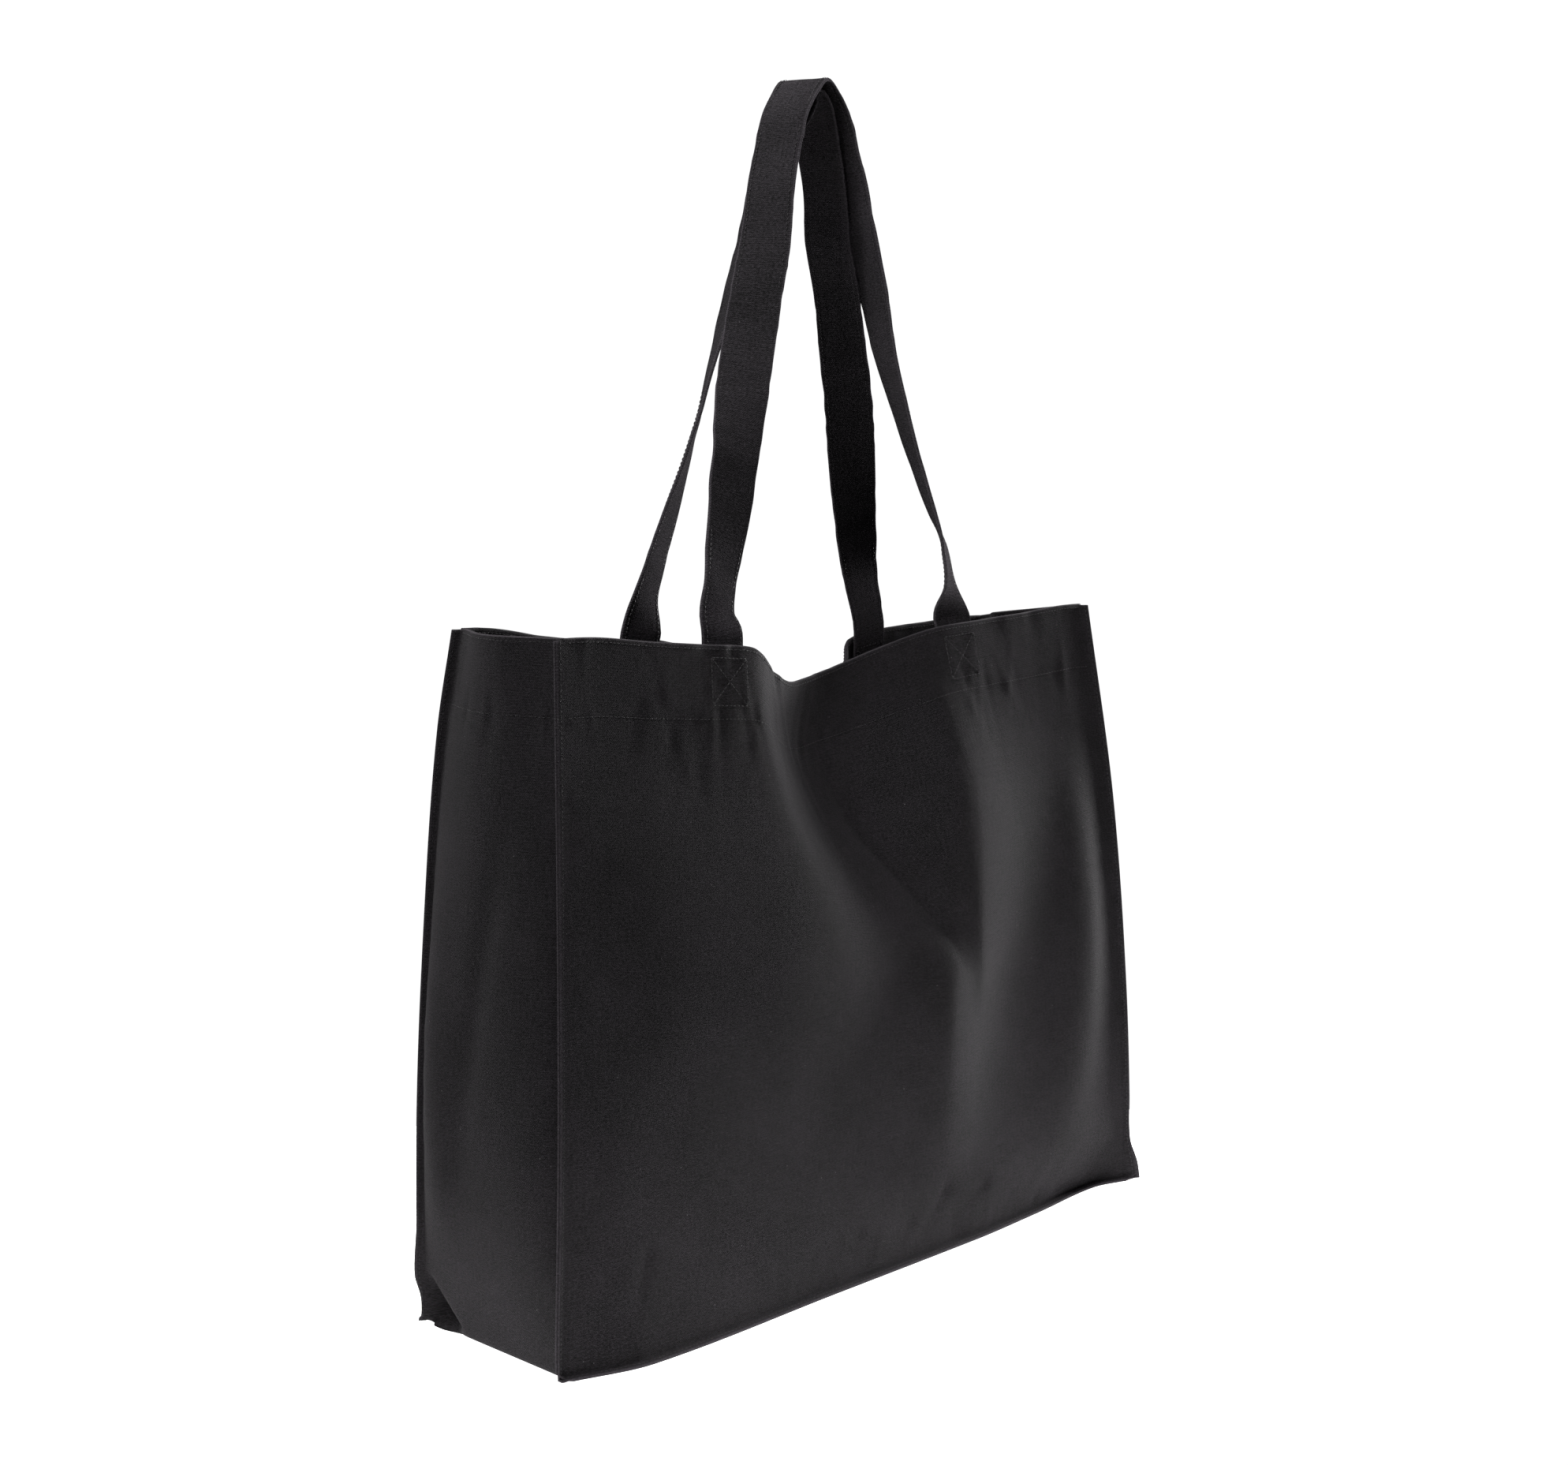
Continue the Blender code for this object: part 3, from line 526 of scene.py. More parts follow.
def make_panel(name, side, look):
    points, outward = panel_points(name, side)
    fins = [(points[:, [edge]] + fin_steps(side, end, PANEL_T))[:, ::end] for end, edge in EDGES]
    wide = np.concatenate([fins[0], points, fins[1]], axis=1)
    lip = floor_lip(side, wide[0])
    fold = hem_turn(points, outward, PANEL_T)
    blank = np.full((len(fold), len(FIN_STEPS), 3), np.nan)
    grid = np.concatenate([lip, wide, np.concatenate([blank, fold, blank], axis=1)])
    reach = FIN_WIDTH * np.array(FIN_STEPS)
    across = np.concatenate([-reach[::-1], PANEL_U * PANEL_WIDTH, PANEL_WIDTH + reach])
    turned = BAG_HEIGHT + np.linspace(0, HEM_DEPTH, len(fold))
    up = np.concatenate([-reach[::-1], PANEL_T * BAG_HEIGHT, turned])
    cut = np.stack(np.broadcast_arrays(across, up[:, None]), axis=-1)
    wear = np.zeros(grid.shape[:2])
    wear[:, (0, -1)] = 1
    wear[0] = 1
    edge = len(lip) + len(wide)
    wear[edge:edge + 3] = TURN_WEAR
    obj = cloth_object(f"{name}_panel_cloth", grid, cut, wear, look)
    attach(obj, "bag")
    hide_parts(f"{name}_panel")
    return points, outward


GUSSET_V = spaced(((0, 0.06, 3), (0.06, 0.94, 40), (0.94, 1, 3)))
GUSSET_T = spaced(((0.011, 0.87, 148), (0.87, 1.0, 34)))
GUSSET_WIDTH = 0.1135
FLOOR_X = spaced(((0.006, 0.994, 96),))
FLOOR_LIFT = 0.00005
BEND_STEPS = (0.25, 0.5, 0.75)
BEND_SWELL = 0.0010
# How far the middle of each gusset bows out or folds in at the hem, in metres.
LEFT_BOW = 0.015
RIGHT_FOLD = 0.034
# The tucked lower back corner of the left gusset: depth, height, and where it starts from the front seam.
CORNER_TUCK = 0.015
CORNER_TUCK_RISE = 0.036
CORNER_TUCK_START = 0.64


def left_gusset_relief(v, t):
    """How far the left gusset stands out past the line between its seams, in metres."""
    bow = LEFT_BOW * t**1.2 * np.sin(np.pi * v) ** 1.5
    puff = (1 - np.abs(2 * v - 1) ** 5) * bell(t, 0.42, 0.36) * 0.009
    heel = bell(v, 0.84, 0.16) * bell(t, 0.36, 0.24) * 0.006
    dent = bell(v + 0.7 * (t - 0.45), 0.52, 0.09) * bell(t, 0.5, 0.22) * 0.0022
    beyond = (v - CORNER_TUCK_START) / (1 - CORNER_TUCK_START) - t * BAG_HEIGHT / CORNER_TUCK_RISE
    tuck = CORNER_TUCK * ease(beyond / 0.5) * ease((1 - v) / 0.07)
    return bow + (puff + heel - dent) * ease(5 * t) * ease(6 * (1 - t)) - tuck


def right_gusset_relief(v, t):
    """How far the right gusset stands out past the line between its seams, in metres."""
    fold = RIGHT_FOLD * t**1.2 * np.exp(-np.abs((v - 0.5) / 0.24) ** 1.7)
    return (1 - np.abs(2 * v - 1) ** 4) * bell(t, 0.30, 0.25) * 0.007 * ease(5 * t) - fold


def gusset_surface(end, v, t):
    """Middle of a gusset's cloth: v from the front seam to the back seam, t from floor to hem."""
    front = seam(-1, end, t) - corner_sides(-1, end) * SEAM_SPLIT
    back = seam(1, end, t) - corner_sides(1, end) * SEAM_SPLIT
    point = front + (back - front) * v[..., None]
    relief = left_gusset_relief if end < 0 else right_gusset_relief
    point[..., 0] += end * relief(v, t)
    return point


def gusset_points(name, end):
    """A gusset's outer layer from the bottom corner to the hem's top, with its outward normals."""
    v, t = np.meshgrid(GUSSET_V, GUSSET_T)
    points = gusset_surface(end, v, t)
    outward = surface_normals(points) * end
    rng = random_for(name)
    along, up = v * GUSSET_WIDTH, t * BAG_HEIGHT
    wave = ripples(rng, along, up - HEM_SHARE * BAG_HEIGHT, 0.016, 0.008, 0.0010)
    wave += ripples(rng, up, along, 0.010, 0.012, 0.0006)
    wave += ripples(rng, up, GUSSET_WIDTH - along, 0.010, 0.012, 0.0006)
    for inset in (along, GUSSET_WIDTH - along):
        wave *= ease(inset / PUCKER_EDGE)
    return points + outward * wave[..., None], outward


def gusset_side(end, points, outward):
    """One side of the strip, upwards, with its fins and its hem, and the wear of each point."""
    fins = [(points[:, [edge]] + fin_steps(side, end, GUSSET_T))[:, ::side] for side, edge in EDGES]
    wide = np.concatenate([fins[0], points, fins[1]], axis=1)
    turn = hem_turn(points, outward, GUSSET_T)
    blank = np.full((len(turn), len(FIN_STEPS) + 1, 3), np.nan)
    grid = np.concatenate([wide, np.concatenate([blank, turn[:, 1:-1], blank], axis=1)])
    wear = np.zeros(grid.shape[:2])
    wear[len(wide):len(wide) + 3] = TURN_WEAR
    wear[:, (0, -1)] = 1
    return grid, wear


def gusset_floor(reach):
    """The floor of the strip, from the left bottom corner to the right one, with its fins."""
    rows = []
    for u in FLOOR_X:
        front, back = (panel_surface(side, np.array([u]), np.array([0.0]))[0] for side in (-1, 1))
        front[2] = back[2] = CLOTH / 2 + FLOOR_LIFT
        row = front + (back - front) * GUSSET_V[:, None]
        fin_front = row[0] + np.array((0, -1, 0)) * reach[::-1, None]
        fin_back = row[-1] + np.array((0, 1, 0)) * reach[:, None]
        rows.append(np.concatenate([fin_front, row, fin_back]))
    return np.stack(rows)


def corner_bend(end, climb, base):
    """Rows that round a bottom corner, from left to right, between a side and the floor."""
    bend = []
    for share in BEND_STEPS:
        swell = np.array((end * BEND_SWELL, 0, -BEND_SWELL)) * math.sin(math.pi * share)
        bend.append(climb * (1 - share) + base * share + swell)
    bend = np.stack(bend[::-end])
    bend[..., 2] = np.maximum(bend[..., 2], CLOTH / 2)
    return bend


def make_gusset(look):
    """One long strip: down the left side, under the bag and up the right side."""
    made = {name: gusset_points(f"{name}_gusset", end) for name, end in GUSSETS.items()}
    left, left_wear = gusset_side(-1, *made["left"])
    right, right_wear = gusset_side(1, *made["right"])
    reach = FIN_WIDTH * np.array(FIN_STEPS)
    floor = gusset_floor(reach)
    bends = corner_bend(-1, left[0], floor[0]), corner_bend(1, right[0], floor[-1])
    grid = np.concatenate([left[::-1], bends[0], floor, bends[1], right])
    steps = np.linalg.norm(np.diff(grid[:, grid.shape[1] // 2], axis=0), axis=-1)
    along = np.concatenate([[0], np.cumsum(steps)])
    across = np.concatenate([-reach[::-1], GUSSET_V * GUSSET_WIDTH, GUSSET_WIDTH + reach])
    cut = np.stack(np.broadcast_arrays(across, along[:, None]), axis=-1)
    floor_wear = np.zeros((len(grid) - len(left) - len(right), grid.shape[1]))
    floor_wear[:, (0, -1)] = 1
    wear = np.concatenate([left_wear[::-1], floor_wear, right_wear])
    obj = cloth_object("gusset_strip_cloth", grid, cut, wear, look)
    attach(obj, "bag")
    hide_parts("gusset_strip")
    return made


def hem_patch(side, share):
    """A function that places points on the hem at a handle end: metres along, down and outwards."""
    span = STRAP_WIDTH / 2 / PANEL_WIDTH
    corners = panel_surface(side, np.array([share - span, share + span] * 2),
                            np.array([1, 1, HEM_SHARE, HEM_SHARE], float))
    top_left, top_right, low_left, low_right = corners
    width = np.linalg.norm(top_right - top_left)
    height = np.linalg.norm(low_left - top_left)

    def place(along, down, out):
        u, v = 0.5 + along / width, down / height
        top = top_left + (top_right - top_left) * u
        low = low_left + (low_right - low_left) * u
        across = (top_right - top_left) * (1 - v) + (low_right - low_left) * v
        normal = unit(np.cross(across, low - top))
        normal = normal * math.copysign(1, normal[1] * side)
        return top + (low - top) * v + normal * out

    return place


# The sewn ends of a strap pass these depths below the hem's top edge, in metres.
TAIL_DEPTHS = (0.036, 0.024, 0.012, 0.0, -0.008)


def loop_path(name):
    """Knots (length, x, y, z, angle) of a whole strap: left sewn end, loop and right sewn end."""
    side = SIDES[name]
    path = list(LOOPS[name])
    for share, last in zip(HANDLE_ENDS[name], (False, True)):
        place = hem_patch(side, share)
        left, right = place(-STRAP_WIDTH / 2, 0, -STRAP_OFFSET), place(STRAP_WIDTH / 2, 0, -STRAP_OFFSET)
        angle = math.degrees(math.atan2(right[1] - left[1], right[0] - left[0]))
        if last == (side < 0):
            angle -= 180
        end = [(*place(0, down, -STRAP_OFFSET), angle) for down in TAIL_DEPTHS]
        path = path + end[::-1] if last else end + path
    knots, length = [], 0.0
    for i, knot in enumerate(path):
        length += math.dist(knot[:3], path[max(i - 1, 0)][:3])
        knots.append((length, *knot))
    return np.array(knots)


STRAP_STEP = 0.0028
STRAP_EDGE = 0.0011
STITCH_DENT = 0.30
MIDDLE_SWELL = 0.10
STRAP_WOBBLE = 0.0006
STRAP_CUP = 0.0006
CUP_WAVES = 23
EDGE_WOBBLE = 0.0004
# Where the strap's middle lies across the flat cloth.
STRAP_CUT = 0.5


def strap_frames(name):
    """Centres, width directions and outer face directions along a whole strap, and the length at each."""
    knots = loop_path(name)
    length = np.linspace(0, knots[-1, 0], int(knots[-1, 0] / STRAP_STEP))
    read = along_knots(knots, length)
    centre, angle = read[:, :3], np.radians(read[:, 3])
    tangent = unit(np.gradient(centre, axis=0))
    across = np.stack([np.cos(angle), np.sin(angle), np.zeros_like(angle)], axis=-1)
    across = unit(across - tangent * (across * tangent).sum(axis=-1, keepdims=True))
    return centre, across, np.cross(across, tangent), length


def strap_profile():
    """Outline of a folded strap: (place across, height off the middle) round the section, with its wear."""
    half, thick = STRAP_WIDTH / 2, STRAP_THICKNESS / 2
    across = np.linspace(-1, 1, 15) * (half - STRAP_EDGE)
    dents = STITCH_DENT * bell(np.abs(across), half - 0.0030, 0.0011)
    heights = thick * (1 - dents + MIDDLE_SWELL * bell(across, 0, half * 0.6))
    top = [(a, h, 0.0) for a, h in zip(across, heights)]
    turn = [(half - STRAP_EDGE + STRAP_EDGE * math.cos(a), thick * 0.95 * math.sin(a), 1.0)
            for a in np.radians((60, 25, -25, -60))]
    return np.array(top + turn + [(-a, -h, w) for a, h, w in top + turn])


def bend_at_hem(obj, centre):
    """Bakes the transform of a strap, or of stitches on it, into its mesh."""
    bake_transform(obj)


def make_strap(name, look):
    centre, across, outer, length = strap_frames(name)
    profile = strap_profile()
    rng = random_for(f"{name}_strap")
    still = np.zeros_like(length)
    wobble = ripples(rng, length, still, 1.0, 0.02, STRAP_WOBBLE)
    cup = STRAP_CUP * np.sin(length * CUP_WAVES + rng.uniform(0, 6))
    x = profile[None, :, 0]
    lift = profile[None, :, 1] + cup[:, None] * (x / (STRAP_WIDTH / 2)) ** 2
    edge = ripples(rng, length, still, 1.0, 0.009, EDGE_WOBBLE)[:, None] * np.sign(x)
    points = centre[:, None] + across[:, None] * (x + edge)[..., None]
    points = points + outer[:, None] * (lift + wobble[:, None])[..., None]
    count, ring = points.shape[:2]
    index = np.arange(count * ring).reshape(count, ring)
    a, b = index[:-1], index[1:]
    quads = np.stack([a, b, np.roll(b, -1, axis=1), np.roll(a, -1, axis=1)], axis=-1).reshape(-1, 4)
    faces = quads.tolist() + [index[0].tolist(), index[-1][::-1].tolist()]
    cut = np.stack(np.broadcast_arrays(x + STRAP_CUT, length[:, None], 0 * x), axis=-1).reshape(-1, 3)
    wear = np.broadcast_to(profile[None, :, 2], (count, ring)).ravel()
    obj = build_mesh(f"{name}_handle_strap", points.reshape(-1, 3), faces, {"cloth": cut, "wear": wear}, look)
    fix_facing(obj)
    bend_at_hem(obj, centre)
    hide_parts(f"{name}_handle", f"{name}_handle_left_end", f"{name}_handle_right_end")
    return centre, across, outer


def fix_facing(obj):
    """Turns a closed mesh's faces outwards where its volume comes out negative."""
    mesh = obj.data
    mesh.calc_loop_triangles()
    points = np.array([v.co for v in mesh.vertices])
    corners = points[np.array([t.vertices for t in mesh.loop_triangles])]
    if np.linalg.det(corners).sum() < 0:
        mesh.flip_normals()


STITCH_PITCH = 0.0027
STITCH_LENGTH = 0.0021
THREAD_RADIUS = 0.00023
STITCH_SIDES = 6
# Rings of one stitch: (share of its length along, share of the radius, share of the lift).
STITCH_RINGS = (
    (-0.5, 0.0, -1.0), (-0.42, 0.75, -0.45), (-0.2, 1.0, 0.35), (0.2, 1.0, 0.35), (0.42, 0.75, -0.45),
    (0.5, 0.0, -1.0),
)
# How much stitches stray along the row, as a share of the pitch, and turn across it.
STITCH_STRAY = 0.05
STITCH_TURN = 0.07
TOP_STITCH_DROP = 0.0022
SEAM_STITCH_REACH = 0.85
LIP_STITCH_REACH = 0.55
BOX_STITCH_DROP = 0.006
BOX_STITCH_LIFT = 0.00015
EDGE_STITCH_INSET = 0.0028
EDGE_STITCH_SINK = 0.80
# Rows at each end of a strap that have no edge stitches.
BARE_ROWS = 4


def stitch_faces():
    """Triangles of one stitch, from the point at one end over its rings to the other point."""
    between = len(STITCH_RINGS) - 2
    rings = [range(1 + STITCH_SIDES * k, 1 + STITCH_SIDES * (k + 1)) for k in range(between)]
    rings = [[0], *rings, [1 + STITCH_SIDES * between]]
    faces = []
    for ring, after in zip(rings, rings[1:]):
        for k in range(STITCH_SIDES):
            j = (k + 1) % STITCH_SIDES
            if len(ring) == 1:
                faces.append((ring[0], after[j], after[k]))
            elif len(after) == 1:
                faces.append((ring[k], ring[j], after[0]))
            else:
                faces.append((ring[k], ring[j], after[j]))
                faces.append((ring[k], after[j], after[k]))
    return np.array(faces)


def stitches_along(line, normal, rng):
    """Vertices and faces of separate stitches along a line of points that lie on the cloth."""
    steps = np.linalg.norm(np.diff(line, axis=0), axis=-1)
    run = np.concatenate([[0], np.cumsum(steps)])
    count = max(1, int(run[-1] / STITCH_PITCH))
    at = (np.arange(count) + 0.5) * run[-1] / count
    at = at + rng.uniform(-STITCH_STRAY, STITCH_STRAY, count) * STITCH_PITCH

    def read(values, places):
        return np.stack([np.interp(places, run, values[:, k]) for k in range(3)], axis=-1)

    centre, out = read(line, at), unit(read(normal, at))
    ahead = unit(read(line, at + 1e-4) - read(line, at - 1e-4))
    ahead = unit(ahead + np.cross(out, ahead) * rng.normal(0, STITCH_TURN, (count, 1)))
    out = unit(out - ahead * (out * ahead).sum(axis=-1, keepdims=True))
    flat = np.cross(out, ahead)
    vertices = []
    for place, radius, lift in STITCH_RINGS:
        spine = centre + ahead * place * STITCH_LENGTH + out * THREAD_RADIUS * lift
        if radius == 0:
            vertices.append(spine)
            continue
        for k in range(STITCH_SIDES):
            angle = 2 * math.pi * k / STITCH_SIDES
            ring = flat * math.cos(angle) + out * math.sin(angle)
            vertices.append(spine + ring * THREAD_RADIUS * radius)
    vertices = np.stack(vertices, axis=1)
    first = (np.arange(count) * vertices.shape[1])[:, None, None]
    return vertices.reshape(-1, 3), (stitch_faces()[None] + first).reshape(-1, 3)


def stitch_mesh(name, rows, rng, look):
    """One object from several stitch rows, each (line, normals)."""
    vertices, faces, base = [], [], 0
    for line, normal in rows:
        made, sides = stitches_along(line, normal, rng)
        vertices.append(made)
        faces.append(sides + base)
        base += len(made)
    obj = build_mesh(name, np.concatenate(vertices), np.concatenate(faces).tolist(), {}, look)
    fix_facing(obj)
    return obj


def sew_to_bag(name, rows, look, replaced):
    """Stitch rows that stay with the bag, in place of one CAD thread."""
    obj = stitch_mesh(name, rows, random_for(name), look)
    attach(obj, "bag")
    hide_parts(replaced)


def hem_line_rows(points, outward, shares, top, columns):
    """Outer and inner stitch lines of a hem, near its top edge or at its lower edge."""
    row = np.abs(shares - (1 - TOP_STITCH_DROP / BAG_HEIGHT if top else HEM_SHARE)).argmin()
    line, out = points[row][columns], outward[row][columns]
    inner = line - out * (HEM_LAYER + CLOTH / 2)
    return [(line + out * CLOTH / 2, out), (inner, -out)]


def make_hem_stitches(panels, gussets, look):
    hems = [(name, *made, PANEL_T, slice(1, -1)) for name, made in panels.items()]
    hems += [(f"{name}_gusset", *made, GUSSET_T, slice(2, -2)) for name, made in gussets.items()]
    for name, points, outward, shares, columns in hems:
        for label, top in (("top", True), ("lower", False)):
            rows = hem_line_rows(points, outward, shares, top, columns)
            sew_to_bag(f"{name}_hem_{label}_stitches", rows, look, f"{name}_hem_{label}_stitch")


def make_seam_stitches(panels, look):
    """The edge stitching of each pinch seam, on both faces of its fin and along the floor lip."""
    for name, side in SIDES.items():
        points, _ = panels[name]
        rows = []
        for end, column in EDGES:
            direction = fin_direction(side, end, PANEL_T)
            line = points[1:, column] + fin_steps(side, end, PANEL_T)[1:, 1] * SEAM_STITCH_REACH
            face = unit(np.cross(direction[1:], UP))
            face = face * np.sign((face * corner_sides(side, end)).sum(axis=-1, keepdims=True))
            rows.append((line + face * CLOTH / 2, face))
            rows.append((line - face * (SEAM_SPLIT * 2 + CLOTH / 2), -face))
        lip = points[0] + np.array((0, side, 0)) * FIN_WIDTH * LIP_STITCH_REACH
        rows.append((lip + UP * CLOTH / 2, np.broadcast_to(UP, lip.shape)))
        sew_to_bag(f"{name}_seam_stitches", rows, look, f"{name}_seam_thread")


def make_box_stitches(name, side, end, share, look):
    """A square of stitches with a cross in it, on the outside of the hem and on the handle end inside."""
    place = hem_patch(side, share)
    half = BOX_STITCH_SIZE / 2
    middle = BOX_STITCH_DROP + half
    corners = ((-half, -half), (half, -half), (half, half), (-half, half), (-half, -half))
    lines = [*zip(corners, corners[1:]), (corners[0], corners[2]), (corners[1], corners[3])]
    rows = []
    for out, way in ((CLOTH / 2 + BOX_STITCH_LIFT, 1), (-STRAP_OFFSET - STRAP_THICKNESS / 2, -1)):
        for (x0, y0), (x1, y1) in lines:
            spots = [(x0 + (x1 - x0) * s, middle + y0 + (y1 - y0) * s) for s in np.linspace(0, 1, 8)]
            line, ahead = (np.array([place(*spot, off) for spot in spots]) for off in (out, out + way / 1000))
            rows.append((line, unit(ahead - line)))
    sew_to_bag(f"{name}_handle_{end}_box_stitches", rows, look, f"{name}_handle_{end}_box_stitch")


def make_strap_stitches(name, frames, look):
    """A row of stitches along each edge of a strap, on both of its faces."""
    centre, across, outer = frames
    inset = STRAP_WIDTH / 2 - EDGE_STITCH_INSET
    kept = slice(BARE_ROWS, -BARE_ROWS)
    for label, way in (("inner", 1), ("outer", -1)):
        rows = []
        for face in (1, -1):
            line = centre + across * inset * way + outer * face * STRAP_THICKNESS / 2 * EDGE_STITCH_SINK
            rows.append((line[kept], outer[kept] * face))
        obj = stitch_mesh(f"{name}_handle_{label}_stitches", rows, random_for(f"{name}{label}"), look)
        bend_at_hem(obj, centre)
        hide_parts(f"{name}_handle_{label}_stitch")


# Weave: distances between threads in metres, and shares of each layer in the surface.
WARP_PITCH = 0.00062
WEFT_PITCH = 0.00078
THREAD_WANDER = 0.00030
CROSSING = 0.375
RIB = 0.5
BUMP_DEPTH = 0.00035
# Dark and light tones of the two cloths and of the thread, and of lint. The straps' tones are lighter than
# the canvas's, partly as painted light for the light the straps catch.
CANVAS_TONES = ((0.0056, 0.0055, 0.0055), (0.0314, 0.0278, 0.0318))
STRAP_TONES_WITH_PAINTED_LIGHT = ((0.0085, 0.0083, 0.0084), (0.0440, 0.0398, 0.0446))
THREAD_TONES = ((0.014, 0.0125, 0.014), (0.043, 0.040, 0.043))
LINT_TONE = (0.095, 0.090, 0.095)
SHEEN_TINT = (0.92, 0.86, 0.92, 1)
WORN_LIFT = 1.9
LINT_RADIUS = 0.055
LINT_SHARE = 0.14


def node(tree, kind, **values):
    made = tree.nodes.new(kind)
    for key, value in values.items():
        setattr(made, key, value)
    return made


def set_inputs(made, values):
    for label, value in values.items():
        made.inputs[label].default_value = value


def maths(tree, operation, a, b=None, clamp=False):
    made = node(tree, "ShaderNodeMath", operation=operation, use_clamp=clamp)
    for socket, value in zip(made.inputs, (a, b)):
        if value is None:
            continue
        if isinstance(value, (int, float)):
            socket.default_value = value
        else:
            tree.links.new(value, socket)
    return made.outputs[0]


def total(tree, *terms):
    """The sum of (value, weight) pairs."""
    parts = [maths(tree, "MULTIPLY", value, weight) for value, weight in terms]
    result = parts[0]
    for part in parts[1:]:
        result = maths(tree, "ADD", result, part)
    return result


def noise(tree, vector, scale, detail=2.0, roughness=0.5):
    made = node(tree, "ShaderNodeTexNoise")
    set_inputs(made, {"Scale": scale, "Detail": detail, "Roughness": roughness})
    tree.links.new(vector, made.inputs["Vector"])
    return made.outputs


def ramp(tree, value, stops):
    made = node(tree, "ShaderNodeValToRGB")
    tree.links.new(value, made.inputs[0])
    for element, (place, colour) in zip(made.color_ramp.elements, stops):
        element.position = place
        element.color = (*colour, 1)
    return made.outputs[0]


def scaled(tree, vector, factors):
    made = node(tree, "ShaderNodeMapping")
    set_inputs(made, {"Scale": factors})
    tree.links.new(vector, made.inputs["Vector"])
    return made.outputs[0]


def mixed(tree, share, base, colour):
    """The base colour with another colour laid over a share of it."""
    made = node(tree, "ShaderNodeMix", data_type="RGBA")
    tree.links.new(share, made.inputs["Factor"])
    tree.links.new(base, made.inputs["A"])
    set_inputs(made, {"B": (*colour, 1)})
    return made.outputs["Result"]


def bumped(tree, shader, height, strength, distance):
    made = node(tree, "ShaderNodeBump")
    set_inputs(made, {"Strength": strength, "Distance": distance})
    tree.links.new(height, made.inputs["Height"])
    tree.links.new(made.outputs["Normal"], shader.inputs["Normal"])


def new_material(name):
    made = bpy.data.materials.new(name)
    made.use_nodes = True
    return made, made.node_tree, made.node_tree.nodes["Principled BSDF"]


def weave(tree, cloth):
    """Heights of a plain weave's crossing threads, which wander a little."""
    bent = node(tree, "ShaderNodeVectorMath", operation="MULTIPLY_ADD")
    tree.links.new(noise(tree, cloth, 260)["Color"], bent.inputs[0])
    bent.inputs[1].default_value = (THREAD_WANDER, THREAD_WANDER, 0)
    tree.links.new(cloth, bent.inputs[2])
    split = node(tree, "ShaderNodeSeparateXYZ")
    tree.links.new(bent.outputs[0], split.inputs[0])
    across = maths(tree, "SINE", maths(tree, "MULTIPLY", split.outputs["X"], math.pi / WARP_PITCH))
    along = maths(tree, "SINE", maths(tree, "MULTIPLY", split.outputs["Y"], math.pi / WEFT_PITCH))
    crossing = maths(tree, "MULTIPLY", across, along)
    return total(tree, (crossing, CROSSING), (maths(tree, "ABSOLUTE", along), RIB))


def with_lint(tree, cloth, base):
    """The base colour with a few pale specks of lint on it."""
    cells = node(tree, "ShaderNodeTexVoronoi")
    set_inputs(cells, {"Scale": 170})
    tree.links.new(cloth, cells.inputs["Vector"])
    near = maths(tree, "LESS_THAN", cells.outputs["Distance"], LINT_RADIUS)
    chosen = node(tree, "ShaderNodeSeparateColor")
    tree.links.new(cells.outputs["Color"], chosen.inputs[0])
    kept = maths(tree, "GREATER_THAN", chosen.outputs[0], 1 - LINT_SHARE)
    return mixed(tree, maths(tree, "MULTIPLY", near, kept), base, LINT_TONE)


def canvas_material(name, tones, gloss):
    """Plain-weave canvas: crossing threads, slubs, faded patches, worn edges and lint."""
    made, tree, shader = new_material(name)
    dark, light = tones
    cloth = node(tree, "ShaderNodeAttribute", attribute_name="cloth").outputs["Vector"]
    wear = node(tree, "ShaderNodeAttribute", attribute_name="wear").outputs["Fac"]
    threads = weave(tree, cloth)
    weft = noise(tree, scaled(tree, cloth, (70, 1300, 1)), 1.0, 1.0)["Fac"]
    warp = noise(tree, scaled(tree, cloth, (1300, 70, 1)), 1.0, 1.0)["Fac"]
    slubs = total(tree, (weft, 1.1), (warp, 0.7))
    fuzz = noise(tree, cloth, 2600, 3.0, 0.6)["Fac"]
    bumped(tree, shader, total(tree, (threads, 1.0), (slubs, 1.0), (fuzz, 0.6)), 0.8, BUMP_DEPTH)
    patches = noise(tree, cloth, 14, 3.0, 0.6)["Fac"]
    mottled = total(tree, (patches, 0.55), (slubs, 0.33))
    grain = noise(tree, scaled(tree, cloth, (520, 1500, 1)), 1.0, 3.0, 0.8)["Fac"]
    grain = maths(tree, "SUBTRACT", grain, 0.5)
    tone = total(tree, (mottled, 1.0), (threads, 0.20), (grain, 2.0))
    base = ramp(tree, tone, ((0.36, dark), (1.0, light)))
    edge = maths(tree, "MULTIPLY", wear, noise(tree, cloth, 900)["Fac"], clamp=True)
    faded = mixed(tree, edge, base, [WORN_LIFT * value for value in light])
    tree.links.new(with_lint(tree, cloth, faded), shader.inputs["Base Color"])
    rough = ramp(tree, mottled, ((0.3, (0.84, 0.84, 0.84)), (1.0, (0.97, 0.97, 0.97))))
    tree.links.new(rough, shader.inputs["Roughness"])
    set_inputs(shader, {
        "Specular IOR Level": gloss, "Sheen Weight": 0.02, "Sheen Roughness": 0.45, "Sheen Tint": SHEEN_TINT,
    })
    return made


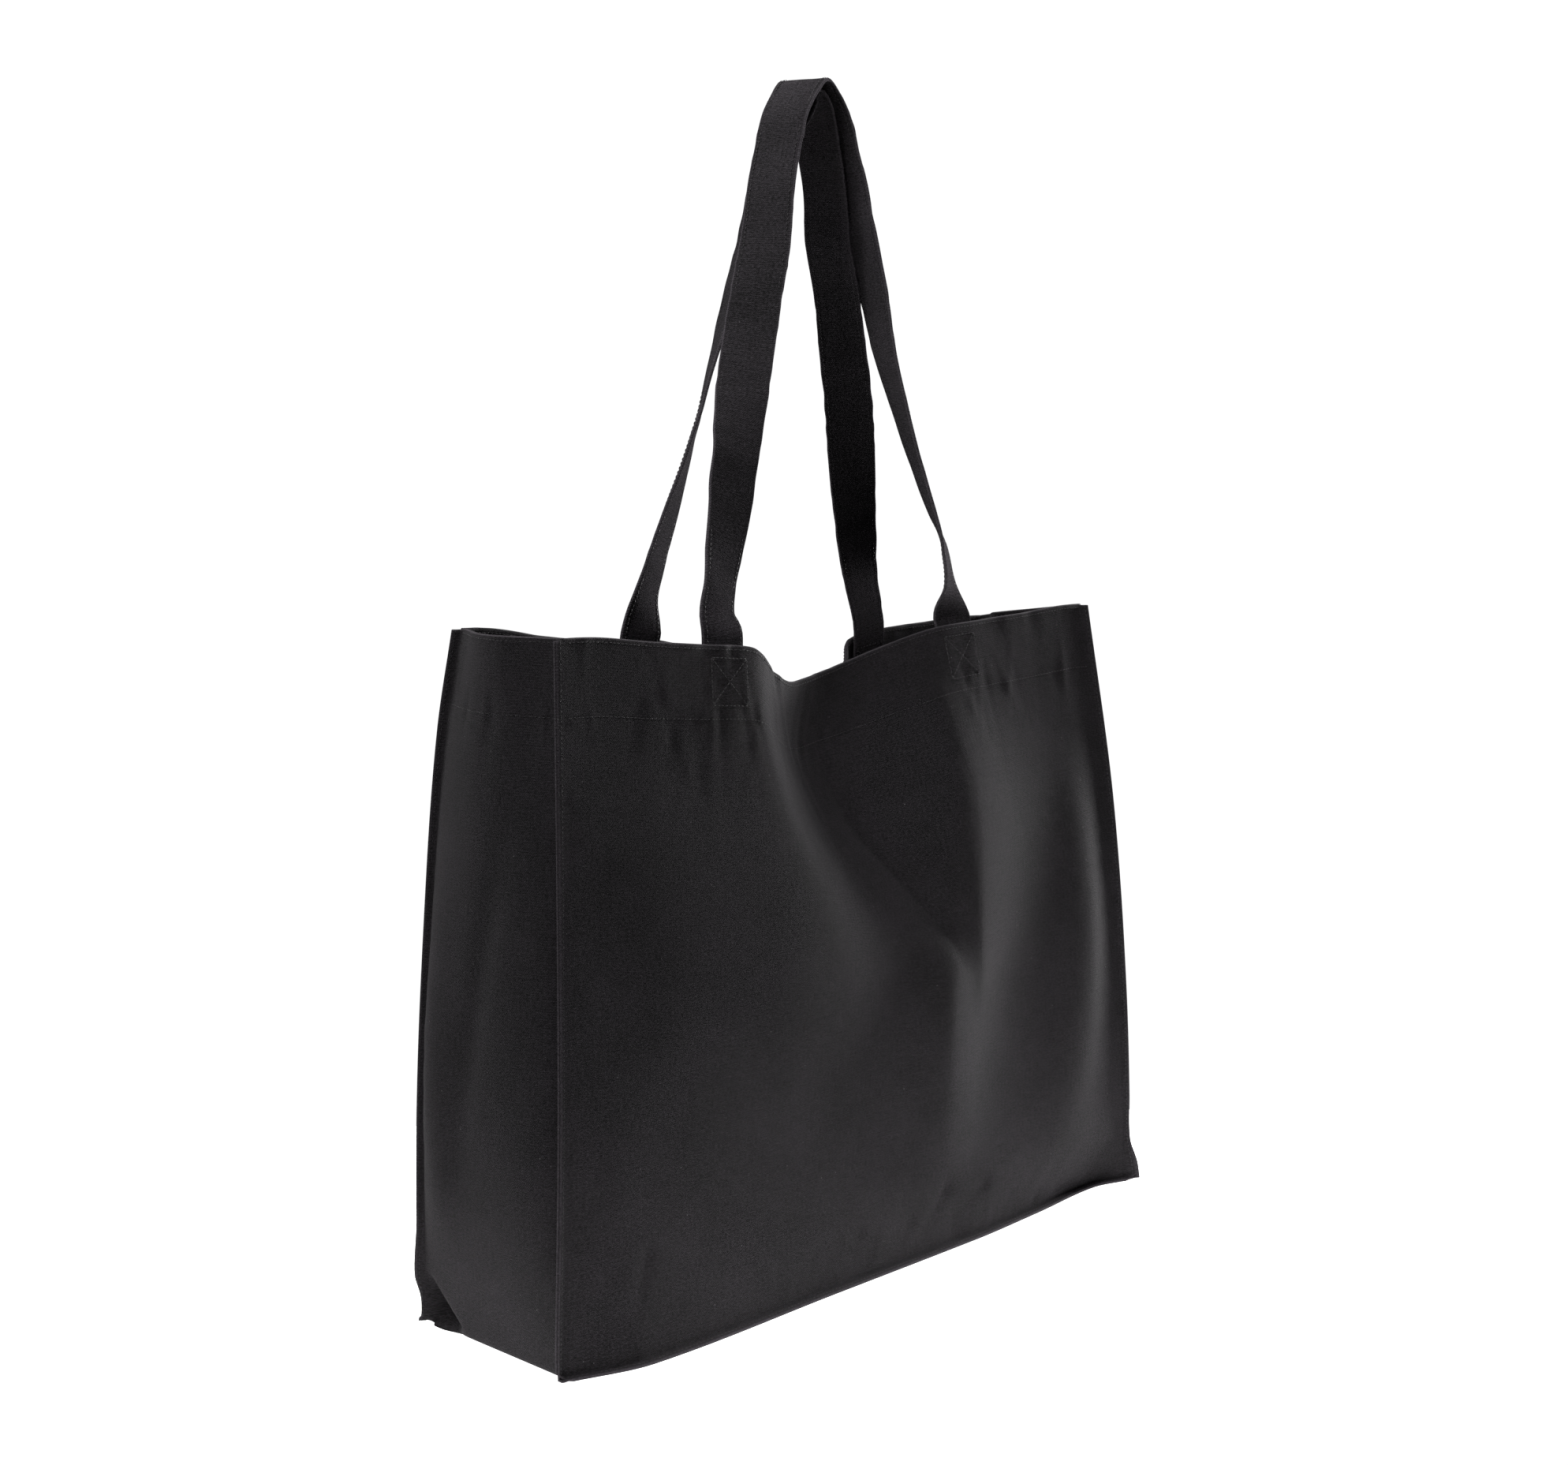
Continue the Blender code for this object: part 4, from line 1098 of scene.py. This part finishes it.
def thread_material(name):
    """Twisted cotton thread, a little mottled."""
    made, tree, shader = new_material(name)
    place = node(tree, "ShaderNodeTexCoord").outputs["Object"]
    tone = noise(tree, place, 900)["Fac"]
    tree.links.new(ramp(tree, tone, tuple(zip((0.3, 0.75), THREAD_TONES))), shader.inputs["Base Color"])
    twist = node(tree, "ShaderNodeTexWave", bands_direction="DIAGONAL")
    set_inputs(twist, {"Scale": 900})
    tree.links.new(place, twist.inputs["Vector"])
    bumped(tree, shader, twist.outputs["Fac"], 0.5, 0.0001)
    set_inputs(shader, {"Roughness": 0.62, "Specular IOR Level": 0.25})
    return made


CAMERA_PLACE = (-0.9603, -0.9531, 0.4759)
CAMERA_YAW = 44.46
CAMERA_PITCH = 6.66
CAMERA_LENS = 51.92
FLOOR_RADIUS = 0.38
FLOOR_TONE = 0.80
FLOOR_GLOW = 1.35
DOME_RADIUS = 14
DOME_GLOW = 1.05
WORLD_GLOW = 0.06
# Area lights: (name, place, what it faces, size, watts).
LIGHTS = (
    ("right_box", (2.0, 0.12, 0.45), (0.1, 0, 0.2), (0.9, 1.1), 165),
    ("left_back_box", (-1.0, 1.85, 0.3), (-0.1, 0, 0.15), (1.0, 0.9), 24),
    ("left_box", (-1.5, -0.45, 1.9), (-0.1, 0, 0.5), (0.5, 0.5), 31),
    ("top_box", (0.2, 0.2, 2.4), (0, 0, 0), (1.8, 1.8), 72),
)


def make_camera():
    data = bpy.data.cameras.new("camera")
    data.sensor_width = 36
    data.lens = CAMERA_LENS
    camera = scene_object("camera", data)
    camera.location = CAMERA_PLACE
    camera.rotation_euler = Euler((math.radians(90 - CAMERA_PITCH), 0, math.radians(-CAMERA_YAW)))
    bpy.context.scene.camera = camera


def area_light(name, place, aim, size, power):
    data = bpy.data.lights.new(name, "AREA")
    data.shape = "RECTANGLE"
    data.size, data.size_y = size
    data.energy = power
    light = scene_object(name, data)
    light.location = place
    light.rotation_euler = (Vector(aim) - Vector(place)).to_track_quat("-Z", "Y").to_euler()


def plain_material(name, tone, glow):
    """A grey surface that glows white."""
    made, _, shader = new_material(name)
    set_inputs(shader, {
        "Base Color": (tone, tone, tone, 1), "Roughness": 0.9, "Specular IOR Level": 0.1,
        "Emission Color": (1, 1, 1, 1), "Emission Strength": glow,
    })
    return made


def make_stage():
    """A small white floor, and a white dome round it that only the camera sees."""
    bpy.ops.mesh.primitive_circle_add(vertices=96, radius=FLOOR_RADIUS, fill_type="NGON")
    floor = bpy.context.object
    floor.name = "floor"
    floor.data.materials.append(plain_material("floor_white", FLOOR_TONE, FLOOR_GLOW))
    bpy.ops.mesh.primitive_uv_sphere_add(segments=64, ring_count=32, radius=DOME_RADIUS)
    dome = bpy.context.object
    dome.name = "dome"
    dome.data.materials.append(plain_material("dome_white", 0, DOME_GLOW))
    for flag in ("visible_diffuse", "visible_glossy", "visible_transmission", "visible_shadow"):
        setattr(dome, flag, False)
    world = bpy.context.scene.world or bpy.data.worlds.new("world")
    bpy.context.scene.world = world
    world.use_nodes = True
    set_inputs(world.node_tree.nodes["Background"], {"Color": (1, 1, 1, 1), "Strength": WORLD_GLOW})
    for light in LIGHTS:
        area_light(*light)
    bpy.context.scene.view_settings.view_transform = "Standard"
    bpy.context.scene.view_settings.look = "None"


def main():
    make_camera()
    make_stage()
    canvas = canvas_material("black_canvas", CANVAS_TONES, gloss=0.10)
    # The straps' cloth is lighter than the bag's canvas, partly painted light for the light that falls on the
    # straps.
    strap_canvas_with_painted_light = canvas_material("handle_canvas", STRAP_TONES_WITH_PAINTED_LIGHT, gloss=0.0)
    cotton = thread_material("sewing_thread")
    panels = {name: make_panel(name, side, canvas) for name, side in SIDES.items()}
    gussets = make_gusset(canvas)
    make_hem_stitches(panels, gussets, cotton)
    make_seam_stitches(panels, cotton)
    for name, side in SIDES.items():
        make_strap_stitches(name, make_strap(name, strap_canvas_with_painted_light), cotton)
        for end, share in zip(GUSSETS, HANDLE_ENDS[name]):
            make_box_stitches(name, side, end, share, cotton)


main()
